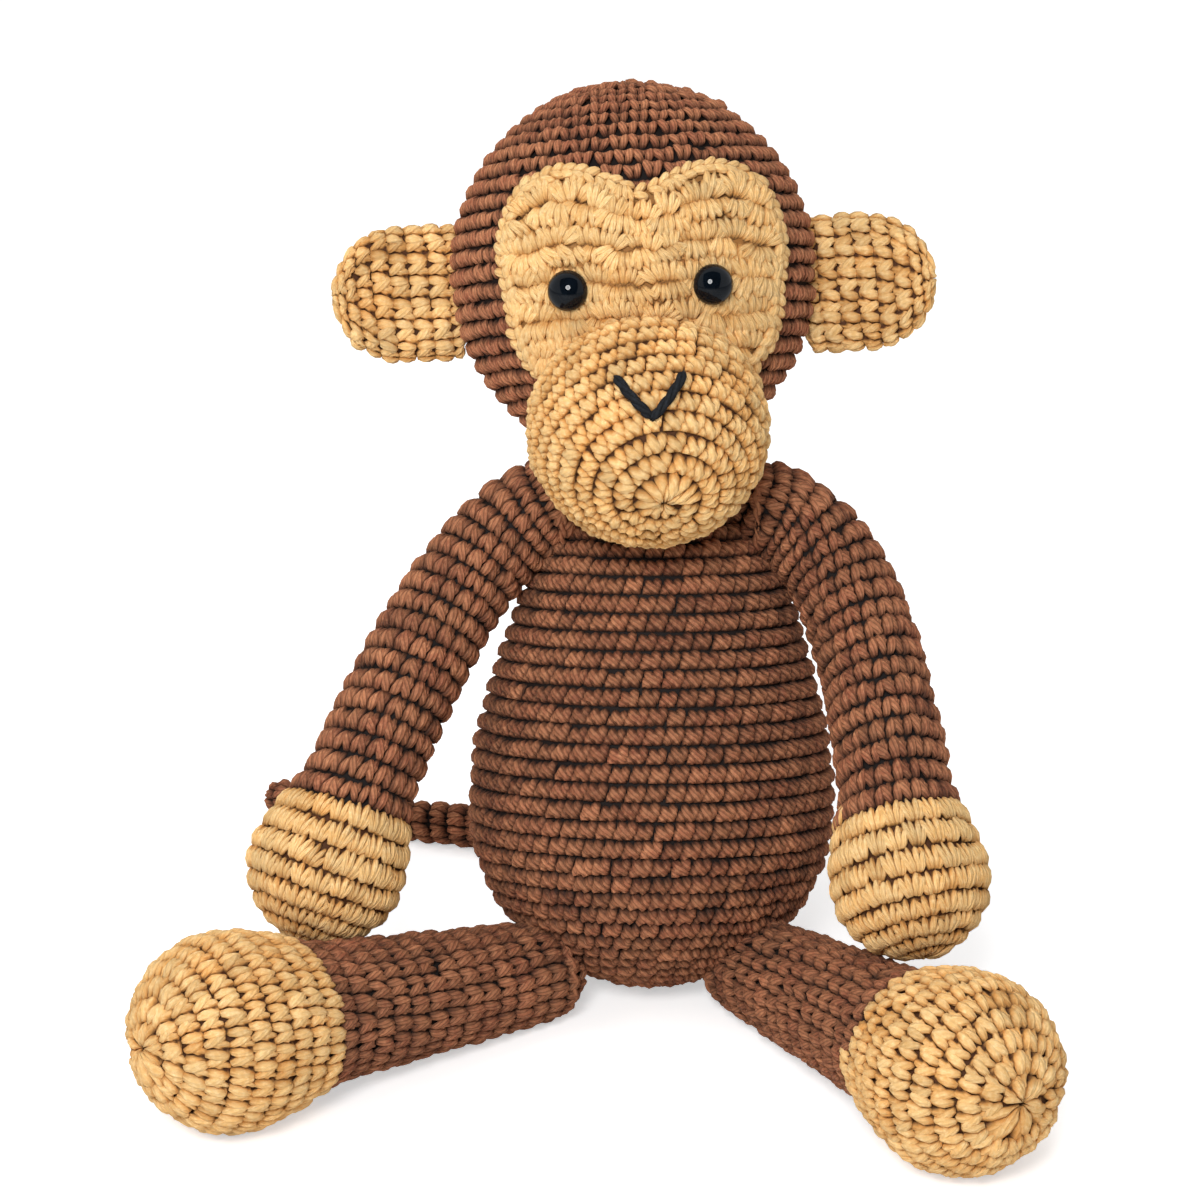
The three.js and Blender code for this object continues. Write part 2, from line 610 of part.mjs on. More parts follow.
for (const [side, sign] of [['left', 1], ['right', -1]]) {
  const ear = addFrame(head, new THREE.Vector3(sign * earHinge, 0, EAR_HEIGHTS[side]));
  ear.rotation.z = sign * EAR_TURN;
  ear.updateWorldMatrix(true, false);
  const outline = [
    ...quarter(EAR_RADIUS, earRootRadius, CAP_STEPS, false),
    ...quarter(EAR_RADIUS, earRootRadius, CAP_STEPS, true).slice(1),
  ];
  const disc = new THREE.LatheGeometry(outline, INNER_SIDES)
    .translate(sign * (EAR_REACH - EAR_RADIUS), 0, 0);
  const hollow = new THREE.SphereGeometry(1, SMALL_SIDES, CAP_STEPS + 2)
    .scale(EAR_HOLLOW_RADIUS, EAR_HOLLOW, EAR_HOLLOW_RADIUS)
    .translate(sign * (EAR_REACH - EAR_RADIUS), -earRootRadius, 0);
  const neckLength = EAR_REACH - EAR_RADIUS + EAR_TUCK;
  const neck = new THREE.CylinderGeometry(1, 1, neckLength, INNER_SIDES)
    .scale(EAR_RADIUS, 1, earRootRadius)
    .rotateZ(Math.PI / 2)
    .rotateX(Math.PI / 2)
    .translate(sign * (neckLength / 2 - EAR_TUCK), 0, 0);
  const root = new THREE.CapsuleGeometry(earRootRadius, EAR_RADIUS, 2, SMALL_SIDES).rotateX(Math.PI / 2);
  const centre = ear.getWorldPosition(new THREE.Vector3());
  const whole = solidOf(disc, ear.matrixWorld)
    .add(solidOf(neck, ear.matrixWorld))
    .add(solidOf(root, ear.matrixWorld))
    .subtract(solidOf(hollow, ear.matrixWorld));
  const headBeside = (turn) => headForm(GAP, ARC_STEPS, BODY_SIDES, turn);
  const solid = [0, EAR_BEND, -EAR_BEND].reduce(
    (rest, angle) => rest.subtract(turnedAbout(centre, headAxis, angle, headBeside)),
    whole,
  );
  addPiece(ear, `ear_${side}`, solid, finishes.tanYarn);
}

// Limbs on their roots

const coarseSide = 1 / Math.cos(Math.PI / INNER_SIDES); // so that its flats lie outside the body

// The body with a margin round it, turned about a limb's root
function bodyAround(margin, turn) {
  const radius = (BODY_RADIUS + margin) * coarseSide;
  const outline = [
    ...quarter(radius, radius, INNER_STEPS, false)
      .map((point) => new THREE.Vector2(point.x, point.y + BODY_RADIUS)),
    ...bodyOutlineUpper.curves.flatMap((curve) => curve.getPoints(CAP_STEPS).slice(1)
      .map((point) => new THREE.Vector2((point.x + margin) * coarseSide, point.y))),
    new THREE.Vector2(0, BODY_LENGTH),
  ];
  return solidOf(turned(outline, INNER_SIDES), turn.clone().multiply(torso.matrixWorld));
}

// A limb with its round root, cut where it would meet the body at rest or in its moves
function limbForm({ path, radiusAt, frame, rings, moves }, inset, sides) {
  const centre = frame.position;
  const beside = (turn) => bodyAround(GAP + inset, turn);
  let result = limb(path, radiusAt, inset, frame, rings, sides);
  for (const { axis, angle } of [{ axis: upward, angle: 0 }, ...moves]) {
    result = result.subtract(turnedAbout(centre, axis, angle, beside));
  }
  return mainBody(result.add(ball(centre, radiusAt(0) - inset, sides)));
}

function seamRing(frame, radius, outward) {
  const inner = seamRadius(radius);
  const outer = inner + SEAM_YARN;
  const band = [];
  for (let i = 0; i <= SEAM_STEPS; i += 1) {
    const angle = THREE.MathUtils.lerp(SEAM_INNER_EDGE, SEAM_OUTER_EDGE, i / SEAM_STEPS);
    band.push(new THREE.Vector2(Math.cos(angle), Math.sin(angle)));
  }
  const outline = [
    ...band.map((point) => point.clone().multiplyScalar(outer)),
    ...band.reverse().map((point) => point.clone().multiplyScalar(inner)),
    band[SEAM_STEPS].clone().multiplyScalar(outer),
  ];
  const turn = new THREE.Quaternion().setFromUnitVectors(upward, outward);
  return solidOf(turned(outline, ROOT_SIDES).applyQuaternion(turn), frame.matrixWorld);
}

function addLimb({ side, names, split, ...form }) {
  const { path, frame } = form;
  const outer = limbForm(form, 0, LIMB_SIDES).subtract(belowFloor);
  const tangent = path.getTangentAt(split / path.getLength());
  const edge = path.getPointAt(split / path.getLength()).add(frame.position);
  const turn = new THREE.Quaternion().setFromUnitVectors(upward, tangent);
  const beyond = (start) => {
    const block = new THREE.BoxGeometry(LEG_LENGTH, LEG_LENGTH, LEG_LENGTH)
      .translate(0, 0, LEG_LENGTH / 2 + start)
      .applyQuaternion(turn);
    return solidOf(block, new THREE.Matrix4().setPosition(edge));
  };
  const shell = outer.subtract(limbForm(form, CLOTH, SMALL_SIDES));
  addPiece(frame, `${names[0]}_cover_${side}`, shell.subtract(beyond(-GAP / 2)), finishes.brownYarn);
  addPiece(frame, `${names[1]}_cover_${side}`, shell.intersect(beyond(GAP / 2)), finishes.tanYarn);
  const filling = limbForm(form, insideCover, SMALL_SIDES);
  addPiece(frame, `${names[0]}_stuffing_${side}`, filling, finishes.stuffing);
}

for (const { side, hand, bow, pull } of [
  { side: 'left', hand: LEFT_HAND, bow: LEFT_ARM_BOW, pull: LEFT_WRIST_PULL },
  { side: 'right', hand: RIGHT_HAND, bow: -RIGHT_ARM_BOW, pull: RIGHT_WRIST_PULL },
]) {
  const frame = shoulders[side];
  const reach = hand.clone().sub(frame.position);
  const path = new THREE.CubicBezierCurve3(
    new THREE.Vector3(),
    new THREE.Vector3(bow, 0, -ARM_DROP),
    reach.clone().add(pull),
    reach,
  );
  const length = path.getLength();
  addLimb({
    frame,
    side,
    names: ['arm', 'hand'],
    path,
    radiusAt: swelling(ARM_RADIUS, WRIST_RADIUS, HAND_RADIUS, length, WRIST_LENGTH),
    moves: [{ axis: leftward, angle: ARM_SWING }, { axis: leftward, angle: -ARM_SWING }],
    rings: ARM_RINGS,
    split: length - HAND_CLOTH_LENGTH,
  });
}

for (const { side, sign, turn } of [
  { side: 'left', sign: 1, turn: LEFT_LEG_TURN },
  { side: 'right', sign: -1, turn: RIGHT_LEG_TURN },
]) {
  const rise = FOOT_RADIUS - LEG_RADIUS;
  const run = Math.sqrt(LEG_LENGTH ** 2 - rise ** 2);
  const path = new THREE.LineCurve3(
    new THREE.Vector3(),
    new THREE.Vector3(sign * run * Math.cos(turn), -run * Math.sin(turn), rise),
  );
  addLimb({
    frame: hips[side],
    side,
    names: ['leg', 'foot'],
    path,
    radiusAt: swelling(LEG_RADIUS, ANKLE_RADIUS, FOOT_RADIUS, LEG_LENGTH, ANKLE_LENGTH),
    moves: [{ axis: upward, angle: sign * LEG_SWING }],
    rings: LEG_RINGS,
    split: LEG_LENGTH - FOOT_CLOTH_LENGTH,
  });
}

// Seams that the limbs and the head turn on

for (const side of ['left', 'right']) {
  const armOut = shoulders[side].position.clone()
    .sub(torso.localToWorld(new THREE.Vector3(0, 0, ARM_HEIGHT)))
    .normalize();
  const shoulderSeam = seamRing(shoulders[side], ARM_RADIUS, armOut);
  addPiece(shoulders[side], `shoulder_seam_${side}`, shoulderSeam, finishes.brownYarn);
  const legOut = hips[side].position.clone().sub(bodyMiddle).normalize();
  addPiece(hips[side], `hip_seam_${side}`, seamRing(hips[side], LEG_RADIUS, legOut), finishes.brownYarn);
}

const neckRing = dish(dishRadius - GAP)
  .subtract(dish(dishRadius - GAP - SEAM_YARN))
  .intersect(neckOpening(NECK_RADIUS - GAP).subtract(neckOpening(NECK_HOLE + GAP)));
addPiece(torso, 'neck_seam', neckRing, finishes.brownYarn);

// Tail

const tailRest = TAIL_TIP_RADIUS - FLAT_DEPTH - TAIL_ROOT_HEIGHT;
const tailTip = new THREE.Vector3(TAIL_TIP.x, TAIL_TIP.y, 0).sub(tailRoot.position).setZ(tailRest);
const tailRun = new THREE.Vector3(Math.cos(TAIL_TURN), -Math.sin(TAIL_TURN), 0);
const tailPath = new THREE.CubicBezierCurve3(
  new THREE.Vector3(),
  new THREE.Vector3(0, TAIL_DROOP, tailRest),
  tailTip.clone().addScaledVector(tailRun, TAIL_CURL),
  tailTip,
);
const tailLength = tailPath.getLength();
const tailForm = {
  path: tailPath,
  radiusAt: (along) => THREE.MathUtils.lerp(TAIL_ROOT_RADIUS, TAIL_TIP_RADIUS, along / tailLength),
  frame: tailRoot,
  rings: TAIL_RINGS,
  moves: [{ axis: upward, angle: TAIL_SWING }, { axis: upward, angle: -TAIL_SWING }],
};
const tailCover = limbForm(tailForm, 0, LIMB_SIDES).subtract(belowFloor);
addPiece(tailRoot, 'tail_cover', tailCover, finishes.brownYarn);

export default toy;
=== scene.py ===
"""The looks of a crocheted sitting monkey with a rattle capsule in its belly.

Forms are worked out in millimetres, in the frame of the solid model, and made in metres.
"""

import math

import bmesh
import bpy
import numpy as np
from bpy.props import FloatProperty, FloatVectorProperty, IntProperty, PointerProperty
from mathutils import Matrix, Vector


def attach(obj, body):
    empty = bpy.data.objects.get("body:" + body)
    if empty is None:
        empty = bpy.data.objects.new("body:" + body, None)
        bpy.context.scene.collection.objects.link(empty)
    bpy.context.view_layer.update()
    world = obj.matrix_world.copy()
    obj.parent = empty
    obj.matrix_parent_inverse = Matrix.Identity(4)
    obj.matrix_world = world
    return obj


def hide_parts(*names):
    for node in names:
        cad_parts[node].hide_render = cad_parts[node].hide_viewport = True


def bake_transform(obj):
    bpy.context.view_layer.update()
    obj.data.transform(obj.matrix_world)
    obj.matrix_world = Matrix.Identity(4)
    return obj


bl_info = {
    "name": "Crocheted monkey rattle",
    "version": (1, 0, 0),
    "blender": (4, 5, 0),
    "location": "View3D > Sidebar > Monkey",
    "description": "Crochets the covers of a sitting monkey rattle and sets its stage",
    "category": "Add Mesh",
}

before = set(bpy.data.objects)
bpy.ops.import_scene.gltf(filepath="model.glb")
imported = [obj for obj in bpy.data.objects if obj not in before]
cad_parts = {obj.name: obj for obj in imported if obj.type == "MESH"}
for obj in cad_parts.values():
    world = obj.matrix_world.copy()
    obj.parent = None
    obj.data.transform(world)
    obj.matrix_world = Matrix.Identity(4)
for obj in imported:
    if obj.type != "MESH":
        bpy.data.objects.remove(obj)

MM = 0.001
TURN = 2 * math.pi
SIDES = (("left", 1), ("right", -1))

# Body and neck
BODY_RADIUS = 46.8
BODY_LENGTH = 134
BODY_LEAN = math.radians(18)
BODY_ROLL = math.radians(1.4)
FLAT_DEPTH = 0.5
BODY_BEZIER = ((46.8, 46.8), (46.8, 68.8), (38.51, 88), (31.8, 110))
CHEST_BEZIER = ((31.8, 110), (29.36, 118), (21.26, 128), (12, 134))
NECK_OUTLINE = ((22.5, 123), (21.5, 132), (21.5, 145))  # radius and height

# Head and face
HEAD_RADIUS = 46.4
HEAD_HALF_HEIGHT = 48.4
HEAD_LEAN = math.radians(20)
HEAD_ROLL = math.radians(-2.5)
HEAD_SIDE = -4.7
HEAD_FORWARD = 4
PATCH_THICKNESS = 3.3  # with the gap under it
PATCH_SHIFT = 2
PATCH_MIDDLE = -8
PATCH_TRIM = 0.965  # share of the patch's size that leaves room for its bound edge
PATCH_WIDTH = 36  # of one lobe
PATCH_LEVELS = (-26, 20)  # of the lowest row, and over the highest
PATCH_LOBE_RISE = 3.1  # half the height by which the rows climb in a lobe
PATCH_BROW = (11, 5, 0.9)  # level, spread and height of the swelling over the eyes
PATCH_ROW = 3.8
PATCH_ROW_STITCHES = 27
PATCH_CORNERS = 144
PATCH_BASE = (  # share of the way out to the edge, and height over the head
    (0, 1.9), (0.25, 1.9), (0.5, 1.9), (0.7, 1.9), (0.86, 1.8), (0.94, 1.3), (0.97, 0.7), (0.9, 0.3),
    (0, 0.3),
)
PATCH_BINDING = ((0.8, 2.6, 0.42), (2.6, 3.4, -0.4))  # way in from the edge, height and slant of each round
PATCH_EDGE = (
    (0, 19), (7.5, 22.1), (18.4, 25.2), (30.3, 20), (35.3, 6.3),
    (34.3, -5.8), (31, -21), (18.6, -32.2), (0, -36),
)
MUZZLE_RADIUS = 29.8
MUZZLE_HALF_HEIGHT = 28.5
MUZZLE_FRONT = 32
MUZZLE_BACK = 26
MUZZLE_PLACE = (1.5, -40.1, -39.8)
MUZZLE_PITCH = math.radians(32)
MUZZLE_YAW = math.radians(6)
MUZZLE_SPIRAL_DROP = math.radians(5)  # of the middle of its spiral, under its tip
EYE_PLACES = {"left": (17.3, -5.6), "right": (-15.3, -5.6)}
EYE_CLEARANCE = 3.3  # without stitches round the shank
EYE_DIMPLE = (6, 1.2)  # width and depth
EYE_LIFT = 2.9
EYE_HEIGHT = 4.4
EYE_RIM = 0.7
SHANK_RADIUS = 1.5
SHANK_LENGTH = 9
NOSE_STITCHES = {"left": ((5.9, 24.2), (-2.5, 17.6)), "right": ((-10.1, 23.4), (-2.7, 17.9))}  # top and point
NOSE_YARN_RADIUS = 1.28
NOSE_LIFT = 0.9
NOSE_OVERLAP = 0.15  # up for the left stitch and down for the right one

# Ears
EAR_RADIUS = 17.4
EAR_REACH = 26.5
EAR_TUCK = 9
EAR_CLOSING = 4  # length over which the inner end closes
EAR_HALF_THICKNESS = 3.5
EAR_HOLLOW = 2.2
EAR_HOLLOW_RADIUS = 12.5
EAR_HINGE = 50.2
EAR_HEIGHTS = {"left": -5, "right": -3}
EAR_TURN = math.radians(-8)
EAR_BEND = (-3, 8)  # where the bend starts and ends, outward from the hinge

# Limbs
ARM_RADII = (12.6, 14.2, 19.8)
WRIST_LENGTH = 26
HAND_CLOTH_LENGTH = 14
SHOULDER_PLACE = (28.3, -9.7, 123)
ARM_DROP = 13
ARM_PATHS = {  # hand, bow and the way the arm comes to the wrist
    "left": ((62, -55.5, 51.8), 27, (-5.5, 19.4, 27.7)),
    "right": ((-80.8, -37.5, 46.7), -25, (13.6, 14.4, 30.4)),
}
LEG_RADII = (13.1, 17, 24.5)
LEG_LENGTH = 90.4
ANKLE_LENGTH = 34
FOOT_CLOTH_LENGTH = 19
LEG_PATHS = {  # hip and the leg's turn from straight sideways
    "left": ((25.6, -24.4), math.radians(59)),
    "right": ((-29.5, -28.6), math.radians(36)),
}
TAIL_RADII = (6.9, 5.4)
TAIL_ROOT = (-6, 43.57, 22)
TAIL_TIP = (-102.6, 92.4)
TAIL_DROOP = 17
TAIL_CURL = 50
TAIL_TURN = math.radians(24.6)
SEWING_RADIUS = 1.2
SEWING_SINK = 1.6  # of the sewing yarn into the limb
SEWING_TUCK = 4  # of the sewing yarn towards the body

# Stitches
STRAND_SIDES = 7
STRAND_RINGS = 6
HALF_STITCH = 2.6
STRAND_FLATNESS = 0.8
STRAND_SAG = 0.15
LINING_DEPTH = 2.1
LEAN = 0.17  # share of a stitch by which each round drifts sideways
PLIES = 8
PLY_PITCH = -30.0  # millimetres of strand for one turn of its plies
# Strands of one stitch: start and end across and up the row, in millimetres, half width, rise
SLANTED_STITCH = (
    ((-2.4, 5.5), (2.3, -0.6), 1.42, 0.1),
    ((0.2, 6.1), (3.2, 1.4), 1.35, 0.0),
    ((-3.2, 3.2), (-0.2, -1.2), 1.35, 0.0),
)
HEART_STITCH = (
    ((0.4, -0.9), (1.6, 5.5), 1.85, 0.25),
    ((-0.6, -0.6), (-3.2, 5.3), 1.65, 0.1),
    ((-1.7, 1.5), (-0.7, 6.0), 1.45, -0.15),
    ((-2.7, 4.6), (2.7, 4.6), 1.4, -0.6),
)
FORKED_STITCH = (
    ((-0.4, -0.9), (-2.1, 5.3), 1.4, 0.15),
    ((0.5, -0.9), (2.0, 5.5), 1.4, 0.05),
    ((0.0, 2.4), (-0.1, 6.2), 1.15, -0.1),
)
FAN_STITCH = (
    ((-0.2, -0.7), (-0.85, 5.7), 1.05, 0.3),
    ((0.35, -0.7), (1.3, 5.5), 1.1, 0.2),
    ((-0.6, -0.5), (-2.8, 5.0), 1.15, 0.05),
    ((0.8, -0.5), (3.1, 4.3), 1.1, -0.05),
    ((-2.7, 4.6), (2.7, 4.6), 1.2, -0.7),
)
BINDING_STITCH = (((-2.4, 2.45), (2.4, 2.45), 1.35, 0.0),)
STITCH_WIDTH = 5.0
STITCH_HEIGHT = 4.9
# No two stitches are pulled quite alike: the spread of their turn, size, place, height and tone
TWIST_SPREAD = math.radians(5)
SIZE_SPREAD = 0.06
SIDE_SPREAD = 0.14
UP_SPREAD = 0.22
HEIGHT_SPREAD = 0.2
TINT_SPREAD = 0.2
FACE_TWIST_SPREAD = math.radians(15)
FACE_UP_SPREAD = 0.25

# Stage, in metres
CAMERA_TARGET = Vector((-13.1, 0, 102.5)) * MM
CAMERA_DISTANCE = 0.979
CAMERA_TILT = math.radians(22)
CAMERA_LENS = 117
LAMPS = (  # name, place, size, power, whether the eyes mirror it, whether it lights the cloth
    ("round_lamp", (-0.15, -1.0, 0.8), 0.36, 9, True, True),
    ("side_softbox", (-0.9, -0.3, 0.8), 0.8, 3, False, True),
    ("top_softbox", (-0.1, 0.1, 1.3), 0.9, 4, False, True),
    ("eye_sparkle", (-0.15, -1.0, 0.8), 0.48, 30, True, False),
)


class MonkeySettings(bpy.types.PropertyGroup):
    """Sizes and colours of the toy."""

    stitch_width: FloatProperty(
        name="Stitch width", description="Width of one stitch along its round",
        default=0.005, min=0.003, max=0.01, subtype="DISTANCE", unit="LENGTH",
    )
    body_row: FloatProperty(
        name="Body row", description="Height of a round on the body, head, neck and ears",
        default=0.00475, min=0.003, max=0.01, subtype="DISTANCE", unit="LENGTH",
    )
    limb_row: FloatProperty(
        name="Limb row", description="Height of a round on the arms, legs and tail",
        default=0.0054, min=0.003, max=0.01, subtype="DISTANCE", unit="LENGTH",
    )
    tan_row: FloatProperty(
        name="Tan row", description="Height of a round on the hands, feet and muzzle",
        default=0.006, min=0.003, max=0.01, subtype="DISTANCE", unit="LENGTH",
    )
    brown: FloatVectorProperty(
        name="Brown yarn", description="Colour of the body's yarn", subtype="COLOR",
        size=3, min=0, max=1, default=(0.36, 0.138, 0.064),
    )
    tan: FloatVectorProperty(
        name="Tan yarn", description="Colour of the face's yarn", subtype="COLOR",
        size=3, min=0, max=1, default=(0.78, 0.49, 0.2),
    )
    eye_radius: FloatProperty(
        name="Eye radius", description="Radius of a safety eye",
        default=0.005, min=0.003, max=0.008, subtype="DISTANCE", unit="LENGTH",
    )
    seed: IntProperty(name="Unevenness", description="Picks the small unevenness of the stitches", default=7)


def linear(code):
    """Linear colour from an sRGB hex value."""
    values = [int(code[i:i + 2], 16) / 255 for i in (1, 3, 5)]
    return tuple(v / 12.92 if v <= 0.04045 else ((v + 0.055) / 1.055) ** 2.4 for v in values)


def add_node(tree, kind, inputs=None, **settings):
    """Adds a node with its settings, and gives each named input a value or a link."""
    made = tree.nodes.new(kind)
    for key, value in settings.items():
        setattr(made, key, value)
    for key, value in (inputs or {}).items():
        if isinstance(value, bpy.types.NodeSocket):
            tree.links.new(value, made.inputs[key])
        else:
            made.inputs[key].default_value = value
    return made


# Materials


def material(name):
    """A material and its empty node tree, or no tree where the material is there already."""
    found = bpy.data.materials.get(name)
    if found:
        return found, None
    made = bpy.data.materials.new(name)
    made.use_nodes = True
    made.node_tree.nodes.clear()
    return made, made.node_tree


def yarn(name, colour, groove_shade, hole_shade, light, warm, fuzz, ply_shade, uneven):
    """Plied cotton yarn: painted highlights on its plies, painted shade in its grooves and stitch holes.

    The yarn map runs across the plies, one unit to a ply, and along the strand, one unit to 10 mm.
    """
    made, tree = material(name)
    if tree is None:
        return made
    place = add_node(tree, "ShaderNodeTexCoord")
    depth = add_node(tree, "ShaderNodeAttribute", attribute_name="depth")
    tint = add_node(tree, "ShaderNodeAttribute", attribute_name="tint")
    plies = add_node(
        tree, "ShaderNodeTexWave",
        {"Vector": place.outputs["UV"], "Scale": TURN / 20, "Distortion": 0.6, "Detail": 1.0},
        wave_type="BANDS", bands_direction="X", wave_profile="SIN",
    )
    # Real cotton fibres are too fine to show, so they are drawn as streaks of about a millimetre
    stretched = add_node(
        tree, "ShaderNodeMapping", {"Vector": place.outputs["UV"], "Scale": (2.2, 3.5, 1)},
    )
    fibres = add_node(
        tree, "ShaderNodeTexNoise",
        {"Vector": stretched.outputs["Vector"], "Scale": 3.0, "Detail": 3.0, "Roughness": 0.6},
    )
    # The dye is a little uneven over 9 mm, and painted highlights mark single fibres over about 1 mm
    mottle = add_node(
        tree, "ShaderNodeTexNoise",
        {"Vector": place.outputs["Object"], "Scale": 1 / (9 * MM), "Detail": 2.0, "Roughness": 0.6},
    )
    specks = add_node(
        tree, "ShaderNodeTexNoise",
        {"Vector": place.outputs["Object"], "Scale": 1 / (1.1 * MM), "Detail": 2.0, "Roughness": 0.6},
    )
    mottled = add_node(
        tree, "ShaderNodeMapRange", {"Value": mottle.outputs["Fac"], "From Min": 0.38, "From Max": 0.64},
    )
    base = add_node(
        tree, "ShaderNodeMix",
        {"Factor": mottled.outputs["Result"], "A": (*colour, 1), "B": (*warm, 1)}, data_type="RGBA",
    )
    # Painted highlight: where fibres and specks meet, the colour is mixed towards the light colour
    bright = add_node(
        tree, "ShaderNodeMath", {0: fibres.outputs["Fac"], 1: specks.outputs["Fac"]}, operation="MULTIPLY",
    )
    bright_part = add_node(
        tree, "ShaderNodeMapRange",
        {"Value": bright.outputs["Value"], "From Min": 0.2, "From Max": 0.42, "To Max": 0.55},
    )
    lit = add_node(
        tree, "ShaderNodeMix",
        {"Factor": bright_part.outputs["Result"], "A": base.outputs["Result"], "B": (*light, 1)},
        data_type="RGBA",
    )
    # Painted shade in the grooves between the plies
    groove = add_node(
        tree, "ShaderNodeMapRange",
        {"Value": plies.outputs["Fac"], "From Min": 0.0, "From Max": 0.45, "To Min": ply_shade, "To Max": 1.0},
    )
    shade = add_node(
        tree, "ShaderNodeMapRange",
        {"Value": tint.outputs["Fac"], "To Min": 1 - 1.2 * uneven, "To Max": 1 + uneven},
    )
    tone = add_node(
        tree, "ShaderNodeMath",
        {0: groove.outputs["Result"], 1: shade.outputs["Result"]}, operation="MULTIPLY",
    )
    toned = add_node(
        tree, "ShaderNodeVectorMath", {0: lit.outputs["Result"], "Scale": tone.outputs["Value"]},
        operation="SCALE",
    )
    # Painted shade: deep between the strands little light gets in, so the colour is darkened towards the
    # lining
    shaded = add_node(tree, "ShaderNodeValToRGB", {"Fac": depth.outputs["Fac"]})
    ramp = shaded.color_ramp
    ramp.elements[0].position, ramp.elements[0].color = 0.12, (*hole_shade, 1)
    ramp.elements[1].position, ramp.elements[1].color = 0.86, (1, 1, 1, 1)
    ramp.elements.new(0.52).color = (*groove_shade, 1)
    coloured = add_node(
        tree, "ShaderNodeVectorMath", {0: toned.outputs["Vector"], 1: shaded.outputs["Color"]},
        operation="MULTIPLY",
    )
    relief = add_node(
        tree, "ShaderNodeMath",
        {0: fibres.outputs["Fac"], 1: 0.5, 2: plies.outputs["Fac"]}, operation="MULTIPLY_ADD",
    )
    bump = add_node(
        tree, "ShaderNodeBump", {"Height": relief.outputs["Value"], "Strength": 0.7, "Distance": 0.2 * MM},
    )
    surface = add_node(
        tree, "ShaderNodeBsdfPrincipled",
        {
            "Base Color": coloured.outputs["Vector"], "Normal": bump.outputs["Normal"],
            "Roughness": 0.82, "Specular IOR Level": 0.15,
            "Sheen Weight": fuzz, "Sheen Roughness": 0.5, "Sheen Tint": (*light, 1),
        },
    )
    add_node(tree, "ShaderNodeOutputMaterial", {"Surface": surface.outputs["BSDF"]})
    return made


def brown_yarn(settings):
    """Dyed cotton yarn, with strong painted shade in its ply grooves and near black painted shade in its
    holes.
    """
    return yarn(
        "brown_cotton_yarn", tuple(settings.brown), (0.5, 0.47, 0.45), (0.03, 0.025, 0.03),
        linear("#c98f66"), linear("#8c5138"), 0.08, 0.55, 0.24,
    )


def tan_yarn(settings):
    """Pale cotton yarn, in which light scatters: faint painted shade on its plies, golden painted shade in
    its grooves.
    """
    return yarn(
        "tan_cotton_yarn", tuple(settings.tan), (0.8, 0.62, 0.42), (0.12, 0.06, 0.03),
        linear("#fde3b0"), linear("#e3b06c"), 0.06, 0.93, 0.16,
    )


def black_yarn():
    """Black cotton yarn: its plies show only as a faint sheen and faint painted highlights and shade."""
    return yarn(
        "black_cotton_yarn", linear("#0e1014"), (0.5, 0.5, 0.5), (0.1, 0.1, 0.1),
        linear("#262c36"), linear("#090b0f"), 0.03, 0.6, 0.24,
    )


def uneven(name, colours, grain, detail, coarseness, relief, strength, surface):
    """A material of two close colours, uneven over a grain and with a relief in millimetres."""
    made, tree = material(name)
    if tree is None:
        return made
    place = add_node(tree, "ShaderNodeTexCoord")
    spots = add_node(
        tree, "ShaderNodeTexNoise",
        {
            "Vector": place.outputs["Object"], "Scale": 1 / (grain * MM), "Detail": detail,
            "Roughness": coarseness,
        },
    )
    low, high = ((*linear(code), 1) for code in colours)
    tone = add_node(
        tree, "ShaderNodeMix", {"Factor": spots.outputs["Fac"], "A": low, "B": high}, data_type="RGBA",
    )
    bump = add_node(
        tree, "ShaderNodeBump",
        {"Height": spots.outputs["Fac"], "Strength": strength, "Distance": relief * MM},
    )
    finish = add_node(
        tree, "ShaderNodeBsdfPrincipled",
        {"Base Color": tone.outputs["Result"], "Normal": bump.outputs["Normal"], **surface},
    )
    add_node(tree, "ShaderNodeOutputMaterial", {"Surface": finish.outputs["BSDF"]})
    return made


def black_plastic():
    """Injection-moulded ABS, polished: deep black with sharp lamp reflections and the faintest ripple."""
    return uneven(
        "polished_black_abs", ("#05080c", "#0c131b"), 2.5, 1.0, 0.5, 0.02, 0.05,
        {"Roughness": 0.03, "IOR": 1.5, "Specular IOR Level": 0.17},
    )


def filling():
    """Polyester fibre fill: white, matt and clumped, with fine crossing fibres."""
    return uneven(
        "polyester_fibre_fill", ("#d9d6cf", "#faf8f3"), 8, 6.0, 0.7, 1.5, 0.9,
        {"Roughness": 0.95, "Sheen Weight": 0.3},
    )


def moulded(name, colours, roughness):
    """Moulded polypropylene: slightly uneven in tone, with a soft orange-peel gloss."""
    return uneven(name, colours, 0.8, 2.0, 0.5, 0.05, 0.15, {"Roughness": roughness, "IOR": 1.49})


def background_paper():
    """Seamless matt paper, which glows for the camera alone, so that it is white and keeps the shadow."""
    made, tree = material("seamless_background_paper")
    if tree is None:
        return made
    path = add_node(tree, "ShaderNodeLightPath")
    plain = add_node(tree, "ShaderNodeBsdfDiffuse", {"Color": (*linear("#f4f4f4"), 1)})
    seen = add_node(
        tree, "ShaderNodeMath", {0: path.outputs["Is Camera Ray"], 1: 0.5}, operation="MULTIPLY",
    )
    glow = add_node(tree, "ShaderNodeEmission", {"Strength": seen.outputs["Value"]})
    both = add_node(tree, "ShaderNodeAddShader", {0: plain.outputs["BSDF"], 1: glow.outputs["Emission"]})
    add_node(tree, "ShaderNodeOutputMaterial", {"Surface": both.outputs["Shader"]})
    return made


